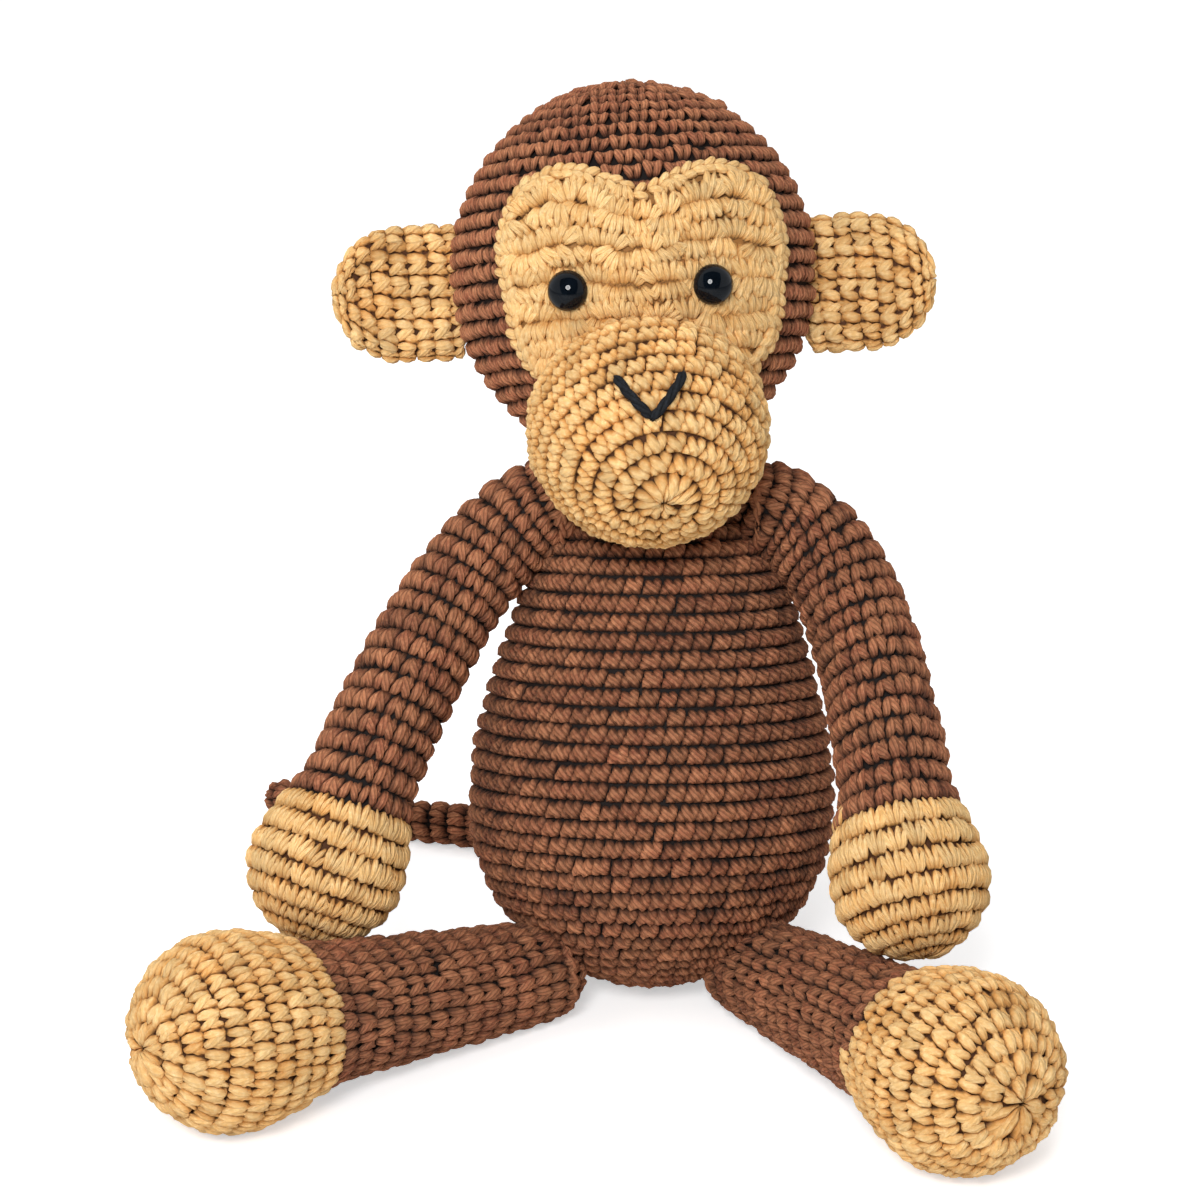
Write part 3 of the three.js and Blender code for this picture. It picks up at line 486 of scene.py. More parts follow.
def black_felt():
    """Matt wool felt on a card, which keeps the eyes' reflections deep and dark."""
    made, tree = material("black_felt")
    if tree is None:
        return made
    felt = add_node(tree, "ShaderNodeBsdfDiffuse", {"Color": (*linear("#0a0c10"), 1)})
    add_node(tree, "ShaderNodeOutputMaterial", {"Surface": felt.outputs["BSDF"]})
    return made


# Forms


def frame_of(place, turn):
    """A frame in the toy's millimetres."""
    return Matrix.Translation(place) @ turn


body_turn = Matrix.Rotation(-BODY_LEAN, 4, "X") @ Matrix.Rotation(BODY_ROLL, 4, "Y")
body_axis = (body_turn @ Vector((0, 0, 1, 0))).to_3d()
body_middle = Vector((0, 0, BODY_RADIUS - FLAT_DEPTH))
TORSO = frame_of(body_middle - BODY_RADIUS * body_axis, body_turn)
head_turn = Matrix.Rotation(-HEAD_LEAN, 4, "X") @ Matrix.Rotation(HEAD_ROLL, 4, "Y")
head_axis = (head_turn @ Vector((0, 0, 1, 0))).to_3d()
head_middle = TORSO @ Vector((HEAD_SIDE, -HEAD_FORWARD, BODY_LENGTH)) + HEAD_HALF_HEIGHT * head_axis
HEAD = frame_of(head_middle, head_turn)
MUZZLE = HEAD @ frame_of(
    MUZZLE_PLACE, Matrix.Rotation(MUZZLE_YAW, 4, "Z") @ Matrix.Rotation(math.pi / 2 + MUZZLE_PITCH, 4, "X"),
)


def moved(matrix, points):
    """Points, as rows of an array, from one frame into another."""
    m = np.array(matrix)
    return points @ m[:3, :3].T + m[:3, 3]


def unit(rows):
    """Directions of length one."""
    return rows / np.maximum(np.linalg.norm(rows, axis=1, keepdims=True), 1e-9)


def lengths(points):
    """Length along a line of points, up to each point."""
    return np.concatenate([[0], np.cumsum(np.linalg.norm(np.diff(points, axis=0), axis=1))])


def between(at, length, rows):
    """Rows of an array read between their lengths."""
    return np.stack([np.interp(at, length, column) for column in rows.T], 1)


def ball(segments, rings):
    """A round ball: points, faces, and each corner's turn and height."""
    bm = bmesh.new()
    bmesh.ops.create_uvsphere(bm, u_segments=segments, v_segments=rings, radius=1)
    points = np.array([v.co[:] for v in bm.verts])
    faces, corners = [], []
    for face in bm.faces:
        middle = face.calc_center_median()
        mid_angle = math.atan2(middle.y, middle.x)
        faces.append([v.index for v in face.verts])
        for v in face.verts:
            angle = math.atan2(v.co.y, v.co.x) if math.hypot(v.co.x, v.co.y) > 1e-4 else mid_angle
            angle += TURN * round((mid_angle - angle) / TURN)
            corners.append((angle / TURN, v.co.z))
    bm.free()
    return points, faces, np.array(corners)


def bezier(points, count):
    """Points along a Bezier curve of four control points."""
    p = np.array(points, float)
    t = np.linspace(0, 1, count)[:, None]
    return (1 - t) ** 3 * p[0] + 3 * (1 - t) ** 2 * t * p[1] + 3 * (1 - t) * t ** 2 * p[2] + t ** 3 * p[3]


def quarter(radius, height, start, end, count=40):
    """Part of an ellipse between two angles, as radius and height."""
    angle = np.radians(np.linspace(start, end, count))
    return np.stack([radius * np.cos(angle), height * np.sin(angle)], 1)


class Cloth:
    """Crochet worked in rounds from a pole: a place for each length from the pole and each angle.

    The outline is radius and height from the pole on, bend puts it in the toy, sign is the way round,
    squeeze keeps it out of a neighbour, and girth is its share of a whole round.
    """

    def __init__(self, outline, bend, row, sign=1, squeeze=None, girth=1.0, tip_rounds=0, tip_row=0.0):
        apart = np.linalg.norm(np.diff(outline, axis=0), axis=1) > 1e-6
        outline = np.vstack([outline[:1], outline[1:][apart]])
        self.length = lengths(outline)
        self.total = self.length[-1]
        self.outline, self.bend, self.sign, self.squeeze, self.girth = outline, bend, sign, squeeze, girth
        first = tip_row or row
        left = self.total - (tip_rounds - 0.25) * first
        rest = max(2, round(left / row))
        steps = np.concatenate([np.full(tip_rounds, first), np.full(rest, left / rest)])
        steps[:2] *= (0.8, 0.95)  # the first rounds are drawn tight
        self.levels = np.concatenate([[0], np.cumsum(steps)])
        self.levels *= self.total / self.levels[-1]
        self.rounds = len(steps)

    def radius(self, s):
        """Radius of the round at a length from the pole."""
        return np.interp(s, self.length, self.outline[:, 0])

    def place(self, s, angle):
        """Places at lengths from the pole and angles round it."""
        s = np.clip(s, 0.02, self.total - 0.02)
        radius = self.radius(s)
        along = np.interp(s, self.length, self.outline[:, 1])
        local = np.stack([radius * np.cos(angle), self.sign * radius * np.sin(angle), along], 1)
        return self.bend(local)

    def sheet(self, s, angle):
        """Places and the directions straight out of the cloth."""
        step = 0.4
        here = self.place(s, angle)
        turn = step / np.maximum(self.radius(s), 1.5)
        around = self.place(s, angle + turn) - self.place(s, angle - turn)
        low, high = np.clip(s - step, 0.02, None), np.clip(s + step, None, self.total - 0.02)
        up = self.place(high, angle) - self.place(low, angle)
        if self.squeeze:
            here = self.squeeze(here)
        return here, unit(np.cross(around, up))

    def rise(self, x):
        """Length from the pole of a place in the spiral, in rounds."""
        return np.interp(x, np.arange(self.rounds + 1), self.levels)

    def spiral(self, low, high, width, lean):
        """The places in rounds, and stitches a round, of the stitches worked between two rounds."""
        fine = np.linspace(0, self.rounds + 1, 40 * self.rounds)
        around = self.girth * TURN * self.radius(self.rise(fine + 0.5)) / width
        places, counts = [], []
        at = 0.0
        while at < min(high, self.rounds - 0.9):
            count = max(6, round(float(np.interp(at, fine, around))))
            at += 1 / (count - lean)
            if at >= low:
                places.append(at)
                counts.append(count)
        return np.array(places), np.array(counts)


STRAND, STRAND_FACES, STRAND_CORNERS = ball(STRAND_SIDES, STRAND_RINGS)


def strand_points(start, end, half_width, rise, taper, tilt, blunt):
    """A strand's points as across, up and out, between two places in a row, and its length."""
    t = STRAND[:, 2]
    round_part = np.hypot(STRAND[:, 0], STRAND[:, 1])
    ring = STRAND[:, :2] / np.maximum(round_part, 1e-9)[:, None]
    plump = np.sqrt(np.clip(1 - np.abs(t) ** blunt, 0, 1)) * (round_part > 1e-4) * (1 - taper * (1 - t) / 2)
    start, end = np.array(start, float), np.array(end, float)
    span = end - start
    reach = np.linalg.norm(span)
    direction = span / reach
    side = np.array([direction[1], -direction[0]])
    centre = (start + end) / 2 + t[:, None] * (span / 2)
    flat_place = centre + (ring[:, 0] * plump * half_width)[:, None] * side
    half_height = half_width * STRAND_FLATNESS
    out = rise - half_height + 0.2 + tilt * t - STRAND_SAG * t ** 2 + ring[:, 1] * plump * half_height
    return np.column_stack([flat_place, out]), reach


def stitch_template(parts, ridge=0.0, lean=0.0, hole=0.0, taper=0.0, tilt=0.0, blunt=2.6):
    """Points, faces and corner patterns of a whole stitch."""
    points, faces, patterns, first = [], [], [], 0
    for part in parts:
        made, reach = strand_points(*part, taper, tilt, blunt)
        across, up, out = made.T  # views, so that the changes below go into the points
        out -= ridge * np.abs(2 * up / STITCH_HEIGHT - 1) ** 3.2
        if lean:
            across[:] = np.clip(across, -HALF_STITCH, HALF_STITCH)
            out -= 0.8 * np.abs(across / HALF_STITCH) ** 4
            across += lean * (up - STITCH_HEIGHT / 2)
        for height in (0, STITCH_HEIGHT):
            out -= hole * np.exp(-(across ** 2 + (up - height) ** 2) / 0.6)
        points.append(made)
        faces += [[first + v for v in face] for face in STRAND_FACES]
        first += len(made)
        along = STRAND_CORNERS[:, 1] * reach / 2
        patterns.append(np.column_stack([PLIES * (STRAND_CORNERS[:, 0] + along / PLY_PITCH), along / 10]))
    return np.vstack(points), faces, np.vstack(patterns)


SLANTED = stitch_template(SLANTED_STITCH, ridge=0.95, lean=LEAN, hole=0.8)
SOFT_SLANTED = stitch_template(SLANTED_STITCH, ridge=0.45, lean=LEAN, hole=0.9)
HEART = stitch_template(HEART_STITCH, hole=1.6, taper=0.45, tilt=0.15, blunt=2.1)
LOW_HEART = stitch_template(HEART_STITCH[:3], ridge=0.45, hole=1.5, taper=0.45, tilt=0.1, blunt=2.1)
FORKED = stitch_template(FORKED_STITCH, ridge=0.8, hole=1.3, taper=0.35, tilt=0.1, blunt=2.1)
FAN = stitch_template(FAN_STITCH, ridge=0.3, hole=1.6, taper=0.5, tilt=0.2, blunt=2.2)
BINDING = stitch_template(BINDING_STITCH)


class Heap:
    """Meshes gathered as arrays, to become one object."""

    def __init__(self):
        self.points, self.depth, self.tint = [], [], []
        self.corners, self.sizes, self.patterns = [], [], []
        self.total = 0

    def add(self, points, faces, patterns=None, depth=1.0, tint=0.5, copies=1):
        """Adds one mesh, or many copies of its faces over many sets of points."""
        per_copy = len(points) // copies
        flat = np.array([v for face in faces for v in face])
        sizes = np.array([len(face) for face in faces])
        firsts = self.total + per_copy * np.arange(copies)
        if patterns is None:
            patterns = np.zeros((len(flat), 2))
        self.corners.append((flat[None, :] + firsts[:, None]).ravel())
        self.sizes.append(np.tile(sizes, copies))
        self.patterns.append(np.tile(patterns, (copies, 1)))
        self.points.append(points)
        self.depth.append(np.broadcast_to(depth, len(points)))
        self.tint.append(np.broadcast_to(tint, len(points)))
        self.total += len(points)

    def build(self, name, finish):
        """Makes the object, with its place in its mesh."""
        points = np.vstack(self.points)
        points[:, 2] = np.maximum(points[:, 2], 0.05)  # nothing sinks into the floor
        corners, sizes = np.concatenate(self.corners), np.concatenate(self.sizes)
        mesh = bpy.data.meshes.new(name)
        mesh.vertices.add(len(points))
        mesh.vertices.foreach_set("co", (points * MM).astype(np.float32).ravel())
        mesh.loops.add(len(corners))
        mesh.loops.foreach_set("vertex_index", corners.astype(np.int32))
        mesh.polygons.add(len(sizes))
        starts = np.concatenate([[0], np.cumsum(sizes)[:-1]])
        mesh.polygons.foreach_set("loop_start", starts.astype(np.int32))
        mesh.polygons.foreach_set("use_smooth", np.ones(len(sizes), bool))
        mesh.update(calc_edges=True)
        pattern = mesh.uv_layers.new(name="yarn")
        pattern.data.foreach_set("uv", np.vstack(self.patterns).astype(np.float32).ravel())
        for key, values in (("depth", self.depth), ("tint", self.tint)):
            layer = mesh.attributes.new(key, "FLOAT", "POINT")
            layer.data.foreach_set("value", np.concatenate(values).astype(np.float32))
        mesh.materials.append(finish)
        made = bpy.data.objects.new(name, mesh)
        bpy.context.scene.collection.objects.link(made)
        return made


def depth_of(out):
    """How far a point stands over the lining, from 0 to 1."""
    return np.clip((out + LINING_DEPTH) / (LINING_DEPTH + 0.2), 0, 1)


def add_lining(heap, cloth, low, high):
    """The closed inner wall of the cloth, painted dark as shade, between two lengths from the pole."""
    around = max(18, int(TURN * cloth.outline[:, 0].max() / 4.5))
    rings = max(4, int((high - low) / 3))
    sphere, faces, _ = ball(around, rings)
    polar = np.arccos(np.clip(-sphere[:, 2], -1, 1)) / math.pi * rings
    s = low + (high - low) * (np.clip(polar, 1, rings - 1) - 1) / (rings - 2)
    angle = np.arctan2(sphere[:, 1], sphere[:, 0])
    here, out = cloth.sheet(s, angle)
    points = here - LINING_DEPTH * out
    for pole, ring in ((0, 1), (rings, rings - 1)):
        at_pole, at_ring = np.abs(polar - pole) < 0.3, np.abs(polar - ring) < 0.3
        points[at_pole] = points[at_ring].mean(0)
    heap.add(points, faces, depth=0.0)


def crochet(name, cloth, settings, finish, stitch, hidden=None, low=0, high=None, seed=0, lean=0.0, tone=0.5):
    """A cover of stitches worked in a spiral, from one round to another, but for the hidden ones."""
    high = cloth.rounds if high is None else high
    width = settings.stitch_width / MM
    rng = np.random.default_rng(settings.seed + seed)
    heap = Heap()
    add_lining(heap, cloth, cloth.rise(low), cloth.rise(high))
    template, faces, patterns = stitch
    at, count = cloth.spiral(low, high, width, lean)
    if hidden is not None:
        here, _ = cloth.sheet(cloth.rise(at + 0.5), at * TURN)
        seen = ~hidden(here)
        at, count = at[seen], count[seen]
    wild = rng.normal(0, 1, (len(at), 6))
    twist = TWIST_SPREAD * wild[:, :1]
    size = 1 + SIZE_SPREAD * wild[:, 1:2]
    across, upward = template[None, :, 0], template[None, :, 1] - STITCH_HEIGHT / 2
    side = (across * np.cos(twist) - upward * np.sin(twist)) * size + SIDE_SPREAD * wild[:, 2:3]
    up = (across * np.sin(twist) + upward * np.cos(twist)) * size + UP_SPREAD * wild[:, 3:4]
    up = np.maximum(up / STITCH_HEIGHT + 0.5, 0.1)
    height = (template[None, :, 2] * size + HEIGHT_SPREAD * wild[:, 4:5]).ravel()
    at = at[:, None]
    turn = at + side / STITCH_WIDTH / count[:, None]
    # The first round rises from the pole, and every other one from the round before it
    share = np.where(at < 1, up * (1 + at), up + turn)
    here, out = cloth.sheet(cloth.rise(share).ravel(), (turn * TURN).ravel())
    tint = np.repeat(np.clip(tone + TINT_SPREAD * wild[:, 5], 0, 1), len(template))
    heap.add(here + height[:, None] * out, faces, patterns, depth_of(height), tint, len(at))
    return heap.build(name, finish)


def ready(piece, body, node, bends=None):
    """Hangs the piece on what it rides on, or bakes its place where bends are given; hides the node it
    replaces.
    """
    if bends:
        other, start, end = bends
        Vector(start) * MM
        Vector(end) * MM
        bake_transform(piece)
    else:
        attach(piece, body)
    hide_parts(node)


def body_outline():
    """From the seat up to the neck, as radius and height."""
    low = quarter(BODY_RADIUS, BODY_RADIUS, -90, 0, 60) + (0, BODY_RADIUS)
    return np.vstack([low, bezier(BODY_BEZIER, 60)[1:], bezier(CHEST_BEZIER, 40)[1:]])


BODY_OUTLINE = body_outline()


def outside_body(margin):
    """Pushes points out of the body's form."""

    def push(points):
        local = moved(TORSO.inverted(), points)
        height = local[:, 2]
        low = height < BODY_RADIUS
        away = local - (0, 0, BODY_RADIUS)
        away[~low, 2] = 0
        far = np.maximum(np.linalg.norm(away, axis=1), 1e-6)
        wall = np.where(low, BODY_RADIUS, np.interp(height, BODY_OUTLINE[:, 1], BODY_OUTLINE[:, 0], right=0))
        short = np.clip(wall + margin - far, 0, None)
        short[height > BODY_LENGTH + 2] = 0
        return moved(TORSO, local + away / far[:, None] * short[:, None])

    return push


def outside_head(margin):
    """Pushes points out of the head's form."""

    def push(points):
        local = moved(HEAD.inverted(), points)
        scale = np.array([HEAD_RADIUS, HEAD_RADIUS, HEAD_HALF_HEIGHT]) + margin
        share = np.linalg.norm(local / scale, axis=1)
        grown = np.where(share < 1, 1 / np.maximum(share, 1e-6), 1)
        return moved(HEAD, local * grown[:, None])

    return push


def deeper(outside, depth):
    """Tells which points lie deeper than that in the form that another function pushes them out of."""
    push = outside(0)
    return lambda points: np.linalg.norm(push(points) - points, axis=1) > depth


def in_muzzle(points, wall):
    """Tells which points lie in the muzzle, under a wall of that thickness at its sides."""
    scale = (MUZZLE_RADIUS - wall, MUZZLE_HALF_HEIGHT - wall, MUZZLE_FRONT)
    return np.linalg.norm(moved(MUZZLE.inverted(), points) / scale, axis=1) < 1


class MONKEY_OT_body(bpy.types.Operator):
    """Crochets the pear-shaped body from its seat up to the neck"""

    bl_idname = "monkey.body"
    bl_label = "Body"

    def execute(self, context):
        settings = context.scene.monkey
        cloth = Cloth(
            BODY_OUTLINE, lambda p: moved(TORSO, p), settings.body_row / MM, squeeze=outside_head(1.5),
        )
        piece = crochet(
            "crocheted_body", cloth, settings, brown_yarn(settings), SLANTED, deeper(outside_head, 0.2),
            seed=1, lean=LEAN,
        )
        ready(piece, "torso", "body_cover")
        return {"FINISHED"}


class MONKEY_OT_head(bpy.types.Operator):
    """Crochets the round head from the neck up to its crown"""

    bl_idname = "monkey.head"
    bl_label = "Head"

    def execute(self, context):
        settings = context.scene.monkey
        outline = quarter(HEAD_RADIUS, HEAD_HALF_HEIGHT, -90, 90, 120)
        cloth = Cloth(outline, lambda p: moved(HEAD, p), settings.body_row / MM)
        # The head's stitches are toned lighter than the rest: painted light, as from a lamp above
        piece = crochet(
            "crocheted_head", cloth, settings, brown_yarn(settings), FORKED, lambda p: in_muzzle(p, 5),
            seed=2, lean=0.4, tone=0.95,
        )
        ready(piece, "head", "head_cover")
        return {"FINISHED"}


class MONKEY_OT_muzzle(bpy.types.Operator):
    """Crochets the muzzle from the middle of its front back to the face"""

    bl_idname = "monkey.muzzle"
    bl_label = "Muzzle"

    def execute(self, context):
        settings = context.scene.monkey
        front = quarter(MUZZLE_RADIUS, MUZZLE_FRONT, 90, 0, 60)
        back = quarter(MUZZLE_RADIUS, MUZZLE_BACK, 0, -90, 50)[1:]
        tip = np.array(Matrix.Rotation(MUZZLE_SPIRAL_DROP, 3, "X"))

        def bend(p):
            """Turns the middle of the spiral down a little, and makes the round muzzle oval."""
            deep = np.where(p[:, 2:] > 0, MUZZLE_FRONT, MUZZLE_BACK)
            x, y, z = (np.column_stack([p[:, :2] / MUZZLE_RADIUS, p[:, 2:] / deep]) @ tip.T).T
            deep = np.where(z > 0, MUZZLE_FRONT, MUZZLE_BACK)
            return moved(MUZZLE, np.column_stack([x * MUZZLE_RADIUS, y * MUZZLE_HALF_HEIGHT, z * deep]))

        cloth = Cloth(np.vstack([front, back]), bend, 0.9 * settings.tan_row / MM, sign=-1)
        piece = crochet(
            "crocheted_muzzle", cloth, settings, tan_yarn(settings), SOFT_SLANTED, deeper(outside_head, 4),
            seed=3, lean=LEAN,
        )
        ready(piece, "head", "muzzle_cover")
        return {"FINISHED"}


class Path:
    """A curve with a level frame at each length along it."""

    def __init__(self, points):
        self.points = points
        self.length = lengths(points)
        self.total = self.length[-1]
        self.tangent = unit(np.gradient(points, axis=0))

    def bend(self, local):
        """Places beside the curve, for two distances across it and a length along it."""
        along = local[:, 2]
        held = np.clip(along, 0, self.total)
        tangent = unit(between(held, self.length, self.tangent))
        side = unit(np.cross(tangent, [0, 0, 1]))
        centre = between(held, self.length, self.points) + (along - held)[:, None] * tangent
        return centre + local[:, :1] * side + local[:, 1:2] * np.cross(tangent, side)


def limb_outline(path, radius_at):
    """From the tip's pole back to the root's pole, as radius and length along the path."""
    tip, root = radius_at(path.total), radius_at(0.0)
    along = np.linspace(path.total, 0, 160)
    tube = np.stack([np.array([radius_at(a) for a in along]), along], 1)
    return np.vstack([
        quarter(tip, tip, 90, 0, 40) + (0, path.total), tube[1:], quarter(root, root, 0, -90, 30)[1:],
    ])


def swelling(radii, length, swell):
    """Radius along a limb that swells into its hand or foot."""
    root, end, tip = radii

    def radius_at(along):
        plain = root + (end - root) * min(along / (length - swell), 1)
        share = min(max((along - length + swell) / swell, 0), 1)
        share = share * share * (3 - 2 * share)
        return plain + (tip - plain) * share

    return radius_at


def shoulder_place(sign):
    """Middle of the joint of an arm."""
    across, forward, height = SHOULDER_PLACE
    return np.array(TORSO @ Vector((sign * across, forward, height)))


def hip_place(side):
    """Middle of the joint of a leg."""
    (x, y), _ = LEG_PATHS[side]
    return np.array([x, y, LEG_RADII[0] - FLAT_DEPTH])


def limb(settings, side, parts, path, radius_at, tan_length, stitches, seed, tone):
    """An arm or leg: brown rounds from the root, and tan rounds round its end."""
    edge = radius_at(path.total) * math.pi / 2 + tan_length
    rounds = round(edge / (settings.tan_row / MM))
    cloth = Cloth(
        limb_outline(path, radius_at), path.bend, settings.limb_row / MM, sign=-1, tip_rounds=rounds,
        tip_row=edge / (rounds - 0.25),
    )
    upper, end = parts
    tan = crochet(
        f"crocheted_{end}_{side}", cloth, settings, tan_yarn(settings), stitches[1], high=rounds, seed=seed,
    )
    brown = crochet(
        f"crocheted_{upper}_{side}", cloth, settings, brown_yarn(settings), stitches[0], low=rounds,
        seed=seed + 1, tone=tone,
    )
    ready(tan, f"{upper}_{side}", f"{end}_cover_{side}")
    ready(brown, f"{upper}_{side}", f"{upper}_cover_{side}")


class MONKEY_OT_arms(bpy.types.Operator):
    """Crochets the arms from the tips of the hands up to the shoulders"""

    bl_idname = "monkey.arms"
    bl_label = "Arms"

    def execute(self, context):
        for number, (side, sign) in enumerate(SIDES):
            hand, bow, pull = ARM_PATHS[side]
            root = shoulder_place(sign)
            reach = np.array(hand, float)
            path = Path(bezier((root, root + (bow, 0, -ARM_DROP), reach + np.array(pull), reach), 200))
            radius_at = swelling(ARM_RADII, path.total, WRIST_LENGTH)
            limb(
                context.scene.monkey, side, ("arm", "hand"), path, radius_at, HAND_CLOTH_LENGTH,
                (LOW_HEART, FAN), seed=10 + 2 * number, tone=0.6,
            )
        return {"FINISHED"}


class MONKEY_OT_legs(bpy.types.Operator):
    """Crochets the legs from the soles of the feet back to the hips"""

    bl_idname = "monkey.legs"
    bl_label = "Legs"

    def execute(self, context):
        for number, (side, sign) in enumerate(SIDES):
            turn = LEG_PATHS[side][1]
            rise = LEG_RADII[2] - LEG_RADII[0]
            run = math.sqrt(LEG_LENGTH ** 2 - rise ** 2)
            root = hip_place(side)
            end = root + (sign * run * math.cos(turn), -run * math.sin(turn), rise)
            path = Path(np.linspace(root, end, 120))
            radius_at = swelling(LEG_RADII, LEG_LENGTH, ANKLE_LENGTH)
            limb(
                context.scene.monkey, side, ("leg", "foot"), path, radius_at, FOOT_CLOTH_LENGTH,
                (HEART, HEART), seed=20 + 2 * number, tone=0.35,
            )
        return {"FINISHED"}


class MONKEY_OT_tail(bpy.types.Operator):
    """Crochets the thin tail from its tip to its root"""

    bl_idname = "monkey.tail"
    bl_label = "Tail"

    def execute(self, context):
        settings = context.scene.monkey
        root = np.array(TAIL_ROOT, float)
        rest = TAIL_RADII[1] - FLAT_DEPTH
        tip = np.array([*TAIL_TIP, rest])
        run = TAIL_CURL * np.array([math.cos(TAIL_TURN), -math.sin(TAIL_TURN), 0])
        path = Path(bezier((root, root + (0, TAIL_DROOP, rest - root[2]), tip + run, tip), 200))

        def radius_at(along):
            return TAIL_RADII[0] + (TAIL_RADII[1] - TAIL_RADII[0]) * along / path.total

        cloth = Cloth(
            limb_outline(path, radius_at), path.bend, settings.limb_row / MM, sign=-1,
            squeeze=outside_body(-2),
        )
        piece = crochet(
            "crocheted_tail", cloth, settings, brown_yarn(settings), LOW_HEART, deeper(outside_body, 4),
            seed=30,
        )
        bends = ("torso", path.points[4], path.points[40])
        ready(piece, "tail", "tail_cover", bends=bends)
        return {"FINISHED"}


class MONKEY_OT_ears(bpy.types.Operator):
    """Crochets the ears as flattened pouches, from their outer edge back to the head"""

    bl_idname = "monkey.ears"
    bl_label = "Ears"

    def execute(self, context):
        settings = context.scene.monkey
        for number, (side, sign) in enumerate(SIDES):
            ear = HEAD @ frame_of(
                (sign * EAR_HINGE, 0, EAR_HEIGHTS[side]), Matrix.Rotation(sign * EAR_TURN, 4, "Z"),
            )
            disc = EAR_REACH - EAR_RADIUS
            outline = np.vstack([
                quarter(EAR_RADIUS, EAR_RADIUS, 90, 0, 60) + (0, disc),
                [(EAR_RADIUS, disc - EAR_CLOSING), (EAR_RADIUS, EAR_CLOSING - EAR_TUCK)],
                quarter(EAR_RADIUS, EAR_CLOSING, 0, -90, 20)[1:] + (0, EAR_CLOSING - EAR_TUCK),
            ])

            def bend(p, sign=sign, ear=ear, disc=disc):
                """Flattens the round pouch, with a hollow in its front."""
                radius = np.hypot(p[:, 0], p[:, 1])
                high = np.arcsin(0.985 * p[:, 1] / np.maximum(radius, 1e-6)) / math.asin(0.985)
                half = EAR_HALF_THICKNESS * np.tanh(radius / 4) * np.sqrt(np.clip(1 - high ** 4, 0, 1))
                y = np.where(p[:, 0] < 0, -half, half)
                z = radius * high
                apart = ((p[:, 2] - disc) ** 2 + z ** 2) / EAR_HOLLOW_RADIUS ** 2
                cup = EAR_HOLLOW * np.sqrt(np.clip(1 - apart, 0, 1)) * (p[:, 0] < 0)
                return moved(ear, np.stack([sign * p[:, 2], y + cup, sign * z], 1))

            cloth = Cloth(
                outline, bend, settings.body_row / MM, sign=-1, squeeze=outside_head(-3), girth=4 / TURN,
            )
            piece = crochet(
                f"crocheted_ear_{side}", cloth, settings, tan_yarn(settings), HEART, deeper(outside_head, 5),
                seed=40 + number,
            )
            start, end = (ear @ Vector((sign * reach, 0, 0)) for reach in EAR_BEND)
            ready(piece, f"ear_{side}", f"ear_{side}", bends=("head", start, end))
        return {"FINISHED"}


def on_face(x, z, lift):
    """Places over the face, seen from the front of the head, and the directions out of it there."""
    share = np.clip((x / HEAD_RADIUS) ** 2 + (z / HEAD_HALF_HEIGHT) ** 2, 0, 0.98)
    here = np.stack([x, -HEAD_RADIUS * np.sqrt(1 - share), z], 1)
    out = unit(here / np.array([HEAD_RADIUS, HEAD_RADIUS, HEAD_HALF_HEIGHT]) ** 2)
    return here + np.asarray(lift)[..., None] * out, out


def patch_edge(count):
    """The closed edge of the face patch, seen from the front, and its whole length."""
    half = np.array(PATCH_EDGE, float)
    ring = np.vstack([half, half[-2:0:-1] * (-1, 1)])
    t = np.linspace(0, 1, 24, endpoint=False)[:, None]
    fine = []
    for k in range(len(ring)):
        # A smooth curve from one given point to the next, bent by the points on either side
        a, b, c, d = (ring[(k + j) % len(ring)] for j in (-1, 0, 1, 2))
        square, cube = 2 * a - 5 * b + 4 * c - d, 3 * b - a - 3 * c + d
        fine.append(0.5 * (2 * b + (c - a) * t + square * t ** 2 + cube * t ** 3))
    fine = (np.vstack(fine) - (0, PATCH_MIDDLE)) * PATCH_TRIM + (PATCH_SHIFT, PATCH_MIDDLE)
    closed = np.vstack([fine, fine[:1]])
    length = lengths(closed)
    return between(np.linspace(0, length[-1], count, endpoint=False), length, closed), length[-1]


def inside(edge, x, z, margin):
    """Tells which places lie inside the edge by at least that margin."""
    a, b = edge, np.roll(edge, -1, axis=0)
    crosses = (a[None, :, 1] > z[:, None]) != (b[None, :, 1] > z[:, None])
    where = a[None, :, 0] + (z[:, None] - a[None, :, 1]) / (b - a + 1e-9)[None, :, 1] * (b - a)[None, :, 0]
    within = (crosses & (x[:, None] < where)).sum(1) % 2 == 1
    near = np.hypot(edge[None, :, 0] - x[:, None], edge[None, :, 1] - z[:, None]).min(1)
    return within & (near > margin)


def sew_on(heap, stitch, x, z, angle, lift, size, rng, jitter):
    """Adds copies of a stitch to the face, each turned by its angle."""
    template, faces, patterns = stitch
    count = len(x)
    if not count:
        return
    wild = rng.normal(0, 1, (count, 5)) * jitter
    angle = (angle + FACE_TWIST_SPREAD * wild[:, 0])[:, None]
    scale = (size * (1 + SIZE_SPREAD * wild[:, 1]))[:, None]
    across, upward = template[:, 0], template[:, 1] - STITCH_HEIGHT / 2
    z = z + FACE_UP_SPREAD * wild[:, 4]
    side = x[:, None] + (across * np.cos(angle) - upward * np.sin(angle)) * scale
    up = z[:, None] + (across * np.sin(angle) + upward * np.cos(angle)) * scale
    height = template[None, :, 2] + HEIGHT_SPREAD * wild[:, 2:3]
    here, _ = on_face(side.ravel(), up.ravel(), (lift[:, None] + height).ravel())
    tint = np.repeat(np.clip(0.5 + TINT_SPREAD * wild[:, 3], 0, 1), len(template))
    heap.add(moved(HEAD, here), faces, patterns, depth_of(height.ravel()), tint, count)


